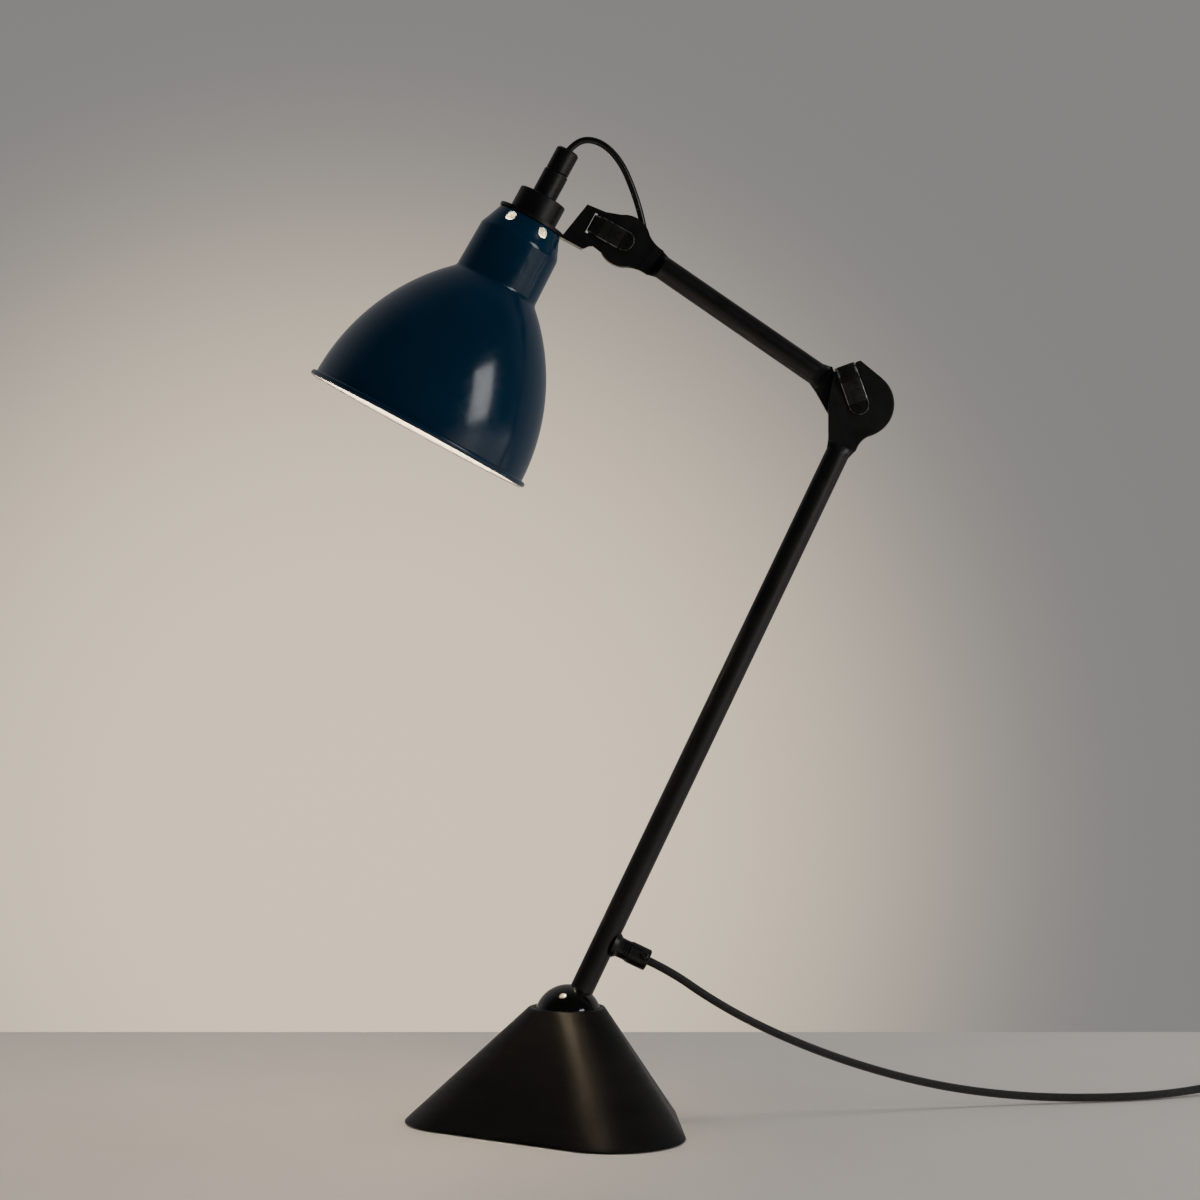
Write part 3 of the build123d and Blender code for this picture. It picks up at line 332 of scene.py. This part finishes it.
# the short cord from the stem's cap to the upper arm
CAP_TOP, GROMMET_UP = 47.0, 124.0  # along the shade's axis, and along the upper arm from the elbow
GROMMET_REACH, HEAD_STRAIGHT = 15.5, 8.5  # the cord's way inside the grommet, and straight past it
CAP_HOLE = at(HEAD, 0, 0, CAP_TOP)
WAY_OUT_SLOPE = math.radians(38.0)
WAY_OUT = UPPER.to_3x3() @ Vector((0, math.sin(WAY_OUT_SLOPE), math.cos(WAY_OUT_SLOPE)))
WIRE_MOUTH = at(UPPER, 0, 0, GROMMET_UP) + WAY_OUT * GROMMET_REACH * MM
HEAD_CORD_ROUTE = [
    tuple(CAP_HOLE / MM), (4.9, 0.4, 576.4), (13.0, 1.2, 578.4), (22.6, 2.4, 574.6), (31.6, 3.8, 564.6),
    (38.0, 5.2, 550.2), (42.8, 7.0, 535.5), (45.6, 9.6, 521.5), (48.4, 13.2, 511.2),
    tuple((WIRE_MOUTH + WAY_OUT * HEAD_STRAIGHT * MM) / MM), tuple(WIRE_MOUTH / MM),
]
head_line = route_line("head_route", HEAD_CORD_ROUTE)
head_cord, head_centres = tube("head_lead", head_line, HEAD_CORD_R, *HEAD_CORD_MESH)
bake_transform(head_cord)
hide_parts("head_cord")
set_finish(head_cord, "head_cord_black")

# ---- base: a rounded triangle that tapers to a round collar ----
BASE_TURN = math.radians(-34.7)
CORNERS = [(-46.3, -28.9), (51.7, -28.9), (4.0, 33.5)]  # centres of the three corners' arcs, at the foot
# directions that the three flats face, before the base is turned
FACES_OUT = [math.degrees(math.atan2(CORNERS[n][0] - CORNERS[(n + 1) % 3][0],
                                     CORNERS[(n + 1) % 3][1] - CORNERS[n][1])) for n in range(3)]
FACES_OUT.append(FACES_OUT[0] + 360)
FOOT, TOP = 0.5, 67.8
CORNER_R, COLLAR_R = 42.0, 20.4
GATHERED = 0.95  # how much nearer the axis the corners' centres stand at the collar
SOCKET_R, BALL_Z = 20.35, 61.0
CORNER_STEPS, FLAT_STEPS = 26, 6
WALL = 3.75  # from the outer face to the inner one


def base_ring(z, inset):
    """The base's outline at a height, drawn in by inset."""
    share = (z - FOOT) / (TOP - FOOT)
    spread, radius = 1 - GATHERED * share, CORNER_R + (COLLAR_R - CORNER_R) * share - inset
    ring = []
    for n in range(3):
        x, y = CORNERS[(n + 1) % 3]
        ring += arc((x * spread, y * spread), radius, FACES_OUT[n], FACES_OUT[n + 1], CORNER_STEPS)
        x, y = CORNERS[(n + 2) % 3]
        after = arc((x * spread, y * spread), radius, FACES_OUT[(n + 1) % 3], 0, 1)[0]
        last = ring[-1]
        for k in range(1, FLAT_STEPS):
            t = k / FLAT_STEPS
            ring.append((last[0] + (after[0] - last[0]) * t, last[1] + (after[1] - last[1]) * t))
    c, s = math.cos(BASE_TURN), math.sin(BASE_TURN)
    return [Vector((x * c - y * s, x * s + y * c, z)) * MM for x, y in ring]


def round_ring(radius, z):
    """A circle whose points stand in the same directions as the collar's."""
    out = []
    for point in base_ring(TOP, 0):
        turn = math.atan2(point.y, point.x)
        out.append(Vector((radius * math.cos(turn), radius * math.sin(turn), z)) * MM)
    return out


def socket(z):
    """Radius of the ball's socket at a height."""
    return math.sqrt(SOCKET_R ** 2 - (z - BALL_Z) ** 2)


# both rounded edges as height and inset, then the lip as radius and height
FOOT_EDGE = [(FOOT, WALL), (FOOT, 0.85), (0.57, 0.42), (0.75, 0.14), (1.1, 0.0)]
COLLAR_EDGE = [(67.0, 0.0), (67.35, 0.03), (67.62, 0.16), (67.76, 0.38), (TOP, 0.7)]
LIP = [(19.55, TOP), (19.32, 67.74), (19.24, 67.5)]
THROAT_R = 17.3
rows = [base_ring(z, inset) for z, inset in FOOT_EDGE]
rows += [base_ring(z, 0.0) for z in (3, 8, 15, 23, 31, 39, 47, 55, 61, 65)]
rows += [base_ring(z, inset) for z, inset in COLLAR_EDGE]
rows += [round_ring(r, z) for r, z in LIP]
rows += [round_ring(socket(z), z) for z in (67.0, 65.5, 63, 60, 57, 54, 51.7)]
rows += [round_ring(THROAT_R, z) for z in (51.5, 46.2)]
rows += [base_ring(z, WALL) for z in (46, 24, 8)]
skirt = mesh_object("base_shell", *skin(rows, closed=True))
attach(skirt, "base")
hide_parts("base_skirt")
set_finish(skirt, "base_enamel")

# ---- shade: spun sheet with a rolled rim, six vents round its shoulder ----
BELL_R, BELL_X, BELL_Z = 132.0, -63.7, -140.0  # the arc that makes the bell, and its centre
BELL_TOP, BELL_DEPTH, BELL_STEPS = -49, 88.4, 34
BEAD_R, BEAD_AT, BEAD_FROM, BEAD_TO = 1.75, (69.2, -138.9), 121, -172
SHEET_T = 1.0
VENTS, VENT_R, VENT_CUT = 6, 3.2, 8  # their number, their radius and the cutters' length
FIRST_VENT = -58  # degrees round the axis
VENT_AT_R, VENT_AT_Z = 21.4, -4.4  # the middle of the sloping shoulder
SHOULDER_OUT, SHOULDER_UP = 9.4, 3.7  # the direction it faces


def bell(z):
    """Radius of the bell's outer face at a height."""
    return BELL_X + math.sqrt(BELL_R ** 2 - (z - BELL_Z) ** 2)


def drawn_in(line, depth):
    """A profile line moved to its right by depth, point by point."""
    out = []
    for i, (r, z) in enumerate(line):
        a, b = Vector(line[max(i - 1, 0)]), Vector(line[min(i + 1, len(line) - 1)])
        ahead = (b - a).normalized()
        out.append((r + ahead.y * depth, z - ahead.x * depth))
    return out


NECK_LINE = [(13.9, 0), (19.6, 0), (23.3, -9.4), (25.2, -13.7), (26.0, -43.2), (bell(BELL_TOP), BELL_TOP)]
outer = rounded(NECK_LINE, (1.2, 3, 6, 4))
outer += [(bell(z), z) for z in [BELL_TOP - BELL_DEPTH * k / BELL_STEPS for k in range(1, BELL_STEPS + 1)]]
bead = arc(BEAD_AT, BEAD_R, BEAD_FROM, BEAD_TO, 20)
shade = lathe("spun_shade", HEAD, outer + bead + drawn_in(outer, SHEET_T)[::-1], 192)

cutters = bmesh.new()
for n in range(VENTS):
    turn = math.radians(FIRST_VENT + 360 / VENTS * n)
    out = Vector((math.cos(turn) * SHOULDER_OUT, math.sin(turn) * SHOULDER_OUT, SHOULDER_UP)).normalized()
    spot = Vector((math.cos(turn) * VENT_AT_R, math.sin(turn) * VENT_AT_R, VENT_AT_Z)) * MM
    place = Matrix.Translation(spot) @ out.to_track_quat("Z", "Y").to_matrix().to_4x4()
    bmesh.ops.create_cone(cutters, cap_ends=True, segments=48, radius1=VENT_R * MM, radius2=VENT_R * MM,
                          depth=VENT_CUT * MM, matrix=place)
cutter_mesh = bpy.data.meshes.new("vent_cutters")
cutters.to_mesh(cutter_mesh)
cutters.free()
cutter = bpy.data.objects.new("vent_cutters", cutter_mesh)
cutter.matrix_world = HEAD
bpy.context.scene.collection.objects.link(cutter)
punch = shade.modifiers.new("vents", "BOOLEAN")
punch.operation, punch.object, punch.solver = "DIFFERENCE", cutter, "EXACT"
bpy.context.view_layer.update()
punched = bpy.data.meshes.new_from_object(shade.evaluated_get(bpy.context.evaluated_depsgraph_get()))
shade.modifiers.clear()
shade.data = punched
bpy.data.objects.remove(cutter)
punched.set_sharp_from_angle(angle=SMOOTH_ANGLE)
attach(shade, "head")
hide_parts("shade")
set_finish(shade, "shade_enamel")

# ---- threaded ring that holds the shade on its lamp holder ----
RING_LOW, RING_HIGH, RING_IN, RING_OUT, CHAMFER = -6.2, -1.0, 13.5, 17.4, 0.5
ring_line = [(RING_IN, RING_HIGH), (RING_OUT - CHAMFER, RING_HIGH), (RING_OUT, RING_HIGH - CHAMFER),
             (RING_OUT, RING_LOW + CHAMFER), (RING_OUT - CHAMFER, RING_LOW), (RING_IN, RING_LOW)]
ring = lathe("holder_ring", HEAD, ring_line)
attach(ring, "head")
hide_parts("shade_ring")
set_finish(ring, "cup_plastic")

# ---- spring clips: a strap bent to a U over the two plates of each joint ----
CLIP_HALF, CLIP_T = 6.0, 1.0  # half the strap's width, and its thickness
FACE_GAP = 0.3  # half the gap between a joint's two plates
PLATE, BRACKET_SHEET = 4.0, 2.5  # thickness of an arm's end plate and of the head's bracket
EDGE_R = 0.4  # rounding of the strap's edges
PRESS_AT, BOW_AT = 1.4, 15  # along the strap from the pin: where it presses, and where it stands off most
NARROW_FROM, NARROW_OVER = 16, 6  # where the strap changes to its width at the bend, and over what length


def strap_half_width(z, bend_half):
    """Half the strap's width: a half circle below the pin, then straight, then the bend's."""
    if z < 0:
        return math.sqrt(max(CLIP_HALF ** 2 - z * z, 0.02))
    share = min(max((z - NARROW_FROM) / NARROW_OVER, 0), 1)
    return CLIP_HALF + (bend_half - CLIP_HALF) * share


def spring_clip(name, matrix, body, node, reach, front, bend_half):
    """front is the depth of the front plate's outer face. The strap's path is (along, depth)."""
    rear = FACE_GAP + PLATE
    path = rounded([(-CLIP_HALF, front - 1.9), (PRESS_AT, front - 0.1), (BOW_AT, front - 1.7),
                    (reach, front - 0.7), (reach, rear + 0.9), (BOW_AT, rear + 2.0),
                    (PRESS_AT, rear + 0.35), (-CLIP_HALF, rear + 2.0)], (1.5, 3, 1.2, 1.2, 3, 1.5))
    # more points where the ends are round
    tip = [-CLIP_HALF * math.cos(math.radians(a)) for a in (14, 24, 34, 46, 58, 72, 86)]

    def along_end(end, after):
        return [(z, end[1] + (after[1] - end[1]) * (z + CLIP_HALF) / (after[0] + CLIP_HALF)) for z in tip]

    lead_in, lead_out = along_end(path[0], path[1]), along_end(path[-1], path[-2])
    path = [path[0]] + lead_in + path[1:-1] + lead_out[::-1] + [path[-1]]
    rings = []
    for i, (z, y) in enumerate(path):
        a, b = Vector(path[max(i - 1, 0)]), Vector(path[min(i + 1, len(path) - 1)])
        ahead = (b - a).normalized()
        half = strap_half_width(z, bend_half)
        r = min(EDGE_R, half * 0.6)
        corners = (arc((half - r, CLIP_T - r), r, 0, 90, 3) + arc((-half + r, CLIP_T - r), r, 90, 180, 3)
                   + arc((-half + r, r), r, 180, 270, 3) + arc((half - r, r), r, 270, 360, 3))
        rings.append([Vector((x, y - ahead.x * out, z + ahead.y * out)) * MM for x, out in corners])
    piece = mesh_object(name, *skin(rings))
    piece.matrix_world = matrix
    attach(piece, body)
    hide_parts(node)
    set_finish(piece, "clip_black")
    return piece


CLIP_LEAN = -20.0  # the elbow's clip stands a little left of upright
CLIP_ASIDE = Vector((-1.6, 0, 0)) * MM
ELBOW_REACH, HEAD_REACH = 23.9, 21.4  # from the pin to the inside of the bend
HEAD_BEND_HALF = 5.2  # the head's clip narrows to pass its slot
elbow_clip = spring_clip("elbow_spring_clip", leaning(ELBOW, CLIP_LEAN) @ Matrix.Translation(CLIP_ASIDE),
                         "lower_arm", "elbow_clip", ELBOW_REACH, -FACE_GAP - PLATE, CLIP_HALF)
head_clip = spring_clip("head_spring_clip", leaning(HEAD_PIVOT, HEAD_LEAN - 90), "head", "head_clip",
                        HEAD_REACH, -FACE_GAP - BRACKET_SHEET, HEAD_BEND_HALF)


# ---- surfaces ----
def wire(tree, source, target):
    tree.links.new(source, target)


def add_node(tree, kind, settings=(), **inputs):
    """A node. Settings are its properties, inputs its sockets: a number, a colour or another's output.
    s and a digit name a socket by its place."""
    made = tree.nodes.new(kind)
    for key, value in dict(settings).items():
        setattr(made, key, value)
    for key, value in inputs.items():
        socket = made.inputs[int(key[1:])] if key[1:].isdigit() else made.inputs[key.replace("_", " ")]
        if isinstance(value, bpy.types.NodeSocket):
            wire(tree, value, socket)
        else:
            socket.default_value = value
    return made


def noise(tree, place, scale, detail):
    return add_node(tree, "ShaderNodeTexNoise", Vector=place, Scale=scale, Detail=detail,
                    Roughness=0.6).outputs[0]


def between(tree, value, low, high, to_low=0.0, to_high=1.0):
    """A value's range from low to high, stretched over another range and held at its ends."""
    return add_node(tree, "ShaderNodeMapRange", {"interpolation_type": "SMOOTHSTEP"}, Value=value,
                    From_Min=low, From_Max=high, To_Min=to_low, To_Max=to_high).outputs[0]


def math_node(tree, operation, a, b=0.0):
    return add_node(tree, "ShaderNodeMath", {"operation": operation}, s0=a, s1=b).outputs[0]


def colour_mix(tree, share, a, b):
    return add_node(tree, "ShaderNodeMix", {"data_type": "RGBA"}, s0=share, s6=a, s7=b).outputs[2]


BARE_STEEL, BARE_ROUGH = (0.62, 0.61, 0.58, 1), 0.28
DUST_COLOUR, DUST_SIZE, DUST_FROM, DUST_ROUGHER = (0.22, 0.21, 0.19, 1), 1500.0, (0.74, 0.80), 0.3
BLOTCH_SPREAD, NOISE_SPREAD = (0.32, 0.68), (0.3, 0.7)  # most of a noise's values fall in these ranges


def surface(name, dark, light, rough, blotch=35.0, grain=900.0, depth=0.02, stretch=(1, 1, 1), dust=0.25,
            metallic=0.0, specular=0.5, coat=0.0, coat_rough=0.1, sheen=0.0, wear=None):
    """A material whose colour drifts from dark to light and whose roughness runs over a range.
    A fine grain is in relief, depth in millimetres, and specks of dust lie on it. wear gives a mask
    of bare steel from the object's own coordinates."""
    material = bpy.data.materials.new(name)
    material.use_nodes = True
    tree = material.node_tree
    tree.nodes.clear()
    shader = tree.nodes.new("ShaderNodeBsdfPrincipled")
    wire(tree, shader.outputs[0], tree.nodes.new("ShaderNodeOutputMaterial").inputs[0])
    own = tree.nodes.new("ShaderNodeTexCoord").outputs["Object"]
    place = add_node(tree, "ShaderNodeMapping", Vector=own, Scale=stretch).outputs[0]
    drift = between(tree, noise(tree, place, blotch, 6.0), *BLOTCH_SPREAD)
    fine = noise(tree, place, grain, 3.0)
    specks = between(tree, noise(tree, own, DUST_SIZE, 1.0), *DUST_FROM, 0.0, dust)
    colour = colour_mix(tree, drift, (*dark, 1), (*light, 1))
    colour = colour_mix(tree, specks, colour, DUST_COLOUR)
    smear = between(tree, noise(tree, place, blotch * 2.7, 5.0), *NOISE_SPREAD, *rough)
    roughness = math_node(tree, "ADD", smear, between(tree, fine, *NOISE_SPREAD, -0.03, 0.03))
    roughness = math_node(tree, "ADD", roughness, math_node(tree, "MULTIPLY", specks, DUST_ROUGHER))
    if wear:
        mask = wear(tree, own)
        colour = colour_mix(tree, mask, colour, BARE_STEEL)
        roughness = add_node(tree, "ShaderNodeMix", s0=mask, s2=roughness, s3=BARE_ROUGH).outputs[0]
        wire(tree, mask, shader.inputs["Metallic"])
    else:
        shader.inputs["Metallic"].default_value = metallic
    wire(tree, colour, shader.inputs["Base Color"])
    wire(tree, roughness, shader.inputs["Roughness"])
    relief = add_node(tree, "ShaderNodeBump", Height=fine, Distance=depth * MM, Strength=1.0)
    wire(tree, relief.outputs[0], shader.inputs["Normal"])
    shader.inputs["Specular IOR Level"].default_value = specular
    shader.inputs["Coat Weight"].default_value = coat
    shader.inputs["Coat Roughness"].default_value = coat_rough
    shader.inputs["Sheen Weight"].default_value = sheen
    return material


EDGE_WORN = (5.5 * MM, 5.9 * MM)  # from the strap's middle line, where its edge turns bright
BEND_WORN, BEND_FROM = (4.7 * MM, 5.1 * MM), (18 * MM, 20 * MM)  # the same at the bend, and where that begins


def clip_wear(tree, own):
    """Bright along the strap's long edges, round its ends and at the edges of its bend."""
    x, y, z = add_node(tree, "ShaderNodeSeparateXYZ", Vector=own).outputs
    across = math_node(tree, "ABSOLUTE", x)
    below = math_node(tree, "MINIMUM", z, 0.0)
    squares = math_node(tree, "ADD", math_node(tree, "MULTIPLY", x, x),
                        math_node(tree, "MULTIPLY", below, below))
    edge = between(tree, math_node(tree, "SQRT", squares), *EDGE_WORN)
    bend = math_node(tree, "MULTIPLY", between(tree, across, *BEND_WORN), between(tree, z, *BEND_FROM))
    worn = math_node(tree, "MAXIMUM", edge, bend)
    return math_node(tree, "MULTIPLY", worn, between(tree, noise(tree, own, 260.0, 5.0), 0.40, 0.56))


def glow(name, colour, strength):
    """Opal glass lit from inside, a little dimmer and redder where it is clouded."""
    material = surface(name, (0.8, 0.76, 0.7), (0.86, 0.83, 0.78), (0.2, 0.3), blotch=60, dust=0.0)
    tree = material.node_tree
    shader = next(n for n in tree.nodes if n.type == "BSDF_PRINCIPLED")
    own = tree.nodes.new("ShaderNodeTexCoord").outputs["Object"]
    cloud = between(tree, noise(tree, own, 90.0, 3.0), 0.3, 0.7, 0.92, 1.0)
    warm = colour_mix(tree, cloud, (colour[0], colour[1] * 0.94, colour[2] * 0.85, 1), (*colour, 1))
    wire(tree, warm, shader.inputs["Emission Color"])
    shader.inputs["Emission Strength"].default_value = strength
    return material


def grey(value):
    return (value, value, value)


BLACK, SOFT_BLACK = (0.0045, 0.0045, 0.0048), (0.008, 0.0078, 0.0076)
MATT_PLASTIC = (grey(0.008), grey(0.013), (0.42, 0.55), dict(grain=1800, depth=0.04))
LOOKS = {  # for each slot: its darkest colour, its lightest, its range of roughness, and the rest
    "base_enamel": (BLACK, SOFT_BLACK, (0.36, 0.44), dict(
        blotch=26, grain=1500, depth=0.012, stretch=(1, 1, 7), dust=0.12, specular=0.2)),
    "satin_black": (BLACK, SOFT_BLACK, (0.34, 0.44), dict(blotch=45, grain=1300, depth=0.012)),
    "ball_gloss": (grey(0.003), grey(0.005), (0.05, 0.1), dict(
        dust=0.1, depth=0.002, coat=0.5, coat_rough=0.03)),
    "clip_black": (grey(0.007), (0.014, 0.013, 0.012), (0.26, 0.42), dict(
        blotch=140, grain=1100, depth=0.015, wear=clip_wear)),
    "shade_enamel": ((0.0016, 0.023, 0.054), (0.0022, 0.029, 0.066), (0.15, 0.2), dict(
        blotch=14, grain=240, depth=0.006, dust=0.12)),
    "cast_weight": ((0.07, 0.068, 0.065), (0.13, 0.12, 0.11), (0.6, 0.8), dict(
        grain=420, depth=0.25, dust=0.0, metallic=0.6)),
    "zinc_steel": ((0.5, 0.5, 0.47), (0.66, 0.65, 0.6), (0.28, 0.45), dict(
        blotch=110, stretch=(1, 1, 6), metallic=1.0, dust=0.05)),
    "spring_steel": ((0.22, 0.22, 0.24), (0.34, 0.34, 0.36), (0.25, 0.4), dict(metallic=1.0)),
    "screw_black": (grey(0.02), (0.05, 0.048, 0.045), (0.3, 0.42), dict(blotch=300, metallic=0.7)),
    "brass": ((0.68, 0.5, 0.22), (0.8, 0.62, 0.3), (0.22, 0.38), dict(blotch=120, metallic=1.0)),
    "bulb_metal": (grey(0.7), (0.82, 0.82, 0.8), (0.25, 0.4), dict(blotch=120, metallic=1.0)),
    "pad_rubber": (grey(0.016), grey(0.03), (0.75, 0.9), dict(grain=700, depth=0.06)),
    "grommet_rubber": (grey(0.008), grey(0.014), (0.55, 0.7), {}),
    "cup_plastic": ((0.62, 0.62, 0.57), (0.7, 0.7, 0.66), (0.4, 0.55), {}),
    "washer_fibre": ((0.05, 0.04, 0.03), (0.09, 0.07, 0.055), (0.7, 0.85), dict(grain=600, depth=0.05)),
    "holder_ceramic": (grey(0.01), grey(0.02), (0.3, 0.45), {}),
    "holder_plastic": (grey(0.01), grey(0.02), (0.35, 0.5), {}),
    "head_cord_black": (grey(0.005), grey(0.009), (0.24, 0.32), dict(blotch=120, depth=0.002, dust=0.1)),
    "cord_inner": (grey(0.012), grey(0.02), (0.35, 0.5), {}),
    "mains_braid": ((0.006, 0.0055, 0.006), (0.016, 0.014, 0.014), (0.62, 0.8), dict(
        blotch=500, grain=2600, depth=0.05, sheen=0.25)),
    "tie_black": (grey(0.01), grey(0.016), (0.5, 0.62), {}),
    "switch_plastic": MATT_PLASTIC,
    "rocker_plastic": (grey(0.01), grey(0.018), (0.18, 0.28), dict(depth=0.004)),
    "plug_plastic": MATT_PLASTIC,
    "pin_nickel": ((0.62, 0.6, 0.56), (0.75, 0.73, 0.69), (0.16, 0.28), dict(
        blotch=150, stretch=(1, 1, 4), metallic=1.0)),
}
SURFACES = {slot: surface(slot, dark, light, rough, **rest)
            for slot, (dark, light, rough, rest) in LOOKS.items()}
SURFACES["bulb_lit"] = glow("bulb_lit", (1.0, 0.80, 0.54), 110.0)
INSIDE_ENAMEL = surface("inside_enamel", (0.80, 0.79, 0.76), (0.86, 0.85, 0.82), (0.3, 0.4), blotch=20,
                        grain=260, depth=0.01, dust=0.04)


def paint(piece, material):
    if piece.material_slots:
        for place in piece.material_slots:
            place.material = material
    else:
        piece.data.materials.append(material)


for name, slot in slot_of.items():
    paint(nodes[name], SURFACES[slot])
for piece in [*mains, end_lead, head_cord, skirt, shade, ring, elbow_clip, head_clip]:
    piece.data.materials.clear()
    piece.data.materials.append(SURFACES[piece["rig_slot"]])
# the shade is white where its faces look inwards, downwards or both
DOWN_COUNTS, WHITE_BELOW = 0.8, -0.75
shade.data.materials.append(INSIDE_ENAMEL)
for face in shade.data.polygons:
    outward = Vector((face.center.x, face.center.y, 0)).normalized().dot(face.normal)
    face.material_index = 1 if outward + DOWN_COUNTS * face.normal.z < WHITE_BELOW else 0


# ---- stage and light ----
FLOOR_SIDE, FLOOR_FRONT, FLOOR_BACK, FLOOR_T = 2.5, -3, 0.336, 0.03
FLOOR_DROP = 0.0002  # keeps the tabletop just clear of the lamp's foot pad
floor_mesh = bpy.data.meshes.new("tabletop")
floor_mesh.from_pydata(
    [(x, y, z) for z in (0, -FLOOR_T) for x, y in (
        (-FLOOR_SIDE, FLOOR_FRONT), (FLOOR_SIDE, FLOOR_FRONT),
        (FLOOR_SIDE, FLOOR_BACK), (-FLOOR_SIDE, FLOOR_BACK))],
    [], [(0, 1, 2, 3), (7, 6, 5, 4), (0, 4, 5, 1), (1, 5, 6, 2), (2, 6, 7, 3), (3, 7, 4, 0)])  # six sides
floor = bpy.data.objects.new("tabletop", floor_mesh)
floor.location.z = -FLOOR_DROP
bpy.context.scene.collection.objects.link(floor)
floor_mesh.materials.append(surface("tabletop", (0.80, 0.74, 0.68), (0.84, 0.78, 0.72), (0.45, 0.55),
                                    blotch=3, grain=300, dust=0.02))


AIM = Vector((0.0, 0.0, 0.35))  # the middle of the lamp


def softbox(name, place, width, height, power, mirrored=False):
    """A white rectangle of light that faces the lamp. Only a mirrored one is seen in the gloss."""
    light = bpy.data.lights.new(name, "AREA")
    light.shape, light.size, light.size_y = "RECTANGLE", width, height
    light.energy = power
    lamp = bpy.data.objects.new(name, light)
    lamp.location = place
    lamp.rotation_mode = "QUATERNION"
    lamp.rotation_quaternion = (AIM - Vector(place)).to_track_quat("-Z", "Y")
    lamp.visible_glossy = mirrored
    bpy.context.scene.collection.objects.link(lamp)


softbox("right_strip", (1.55, -1.1, 0.69), 0.62, 0.98, 10, mirrored=True)
softbox("overhead", (0.1, 0.1, 2.2), 1.6, 1.6, 8)
softbox("front_left", (-1.3, -1.3, 0.9), 1.0, 1.2, 3)
softbox("left_back", (-1.4, 0.9, 0.9), 0.7, 1.4, 4)
softbox("right_back", (1.5, 0.3, 0.7), 0.6, 1.4, 7)

# The studio behind the lamp is pale, with a warm glow low on its left. What the gloss and the lamp
# itself see in front is dim, so that the black stays black; the camera finds the same grey all round.
world = bpy.data.worlds.new("studio")
world.use_nodes = True
bpy.context.scene.world = world
sky = world.node_tree
direction = sky.nodes.new("ShaderNodeTexCoord").outputs["Generated"]
towards_back = add_node(sky, "ShaderNodeSeparateXYZ", Vector=direction).outputs[1]
GLOW_AT = Vector((-0.09, 1.0, -0.08)).normalized()
GLOW_REACH, GLOW_FALL = 0.36, 4.0  # radians from its middle to its edge, and how steeply it fades
FRONT_UP_TO, BACK_FROM = -0.2, 0.75  # the change from front to back, in the direction's y
BACK_GREY, FRONT_DIM, GLOW_WARM = (0.245, 0.238, 0.236, 1), (0.022, 0.022, 0.023, 1), (1.1, 0.91, 0.68, 1)
nearness = add_node(sky, "ShaderNodeVectorMath", {"operation": "DOT_PRODUCT"},
                    s0=direction, s1=GLOW_AT).outputs[1]
glow_share = math_node(sky, "POWER", between(sky, nearness, math.cos(GLOW_REACH), 1.0), GLOW_FALL)
backdrop = colour_mix(sky, glow_share, BACK_GREY, GLOW_WARM)
seen_by_lamp = colour_mix(sky, between(sky, towards_back, FRONT_UP_TO, BACK_FROM), FRONT_DIM, backdrop)
direct = sky.nodes.new("ShaderNodeLightPath").outputs["Is Camera Ray"]
wire(sky, colour_mix(sky, direct, seen_by_lamp, backdrop), sky.nodes["Background"].inputs[0])
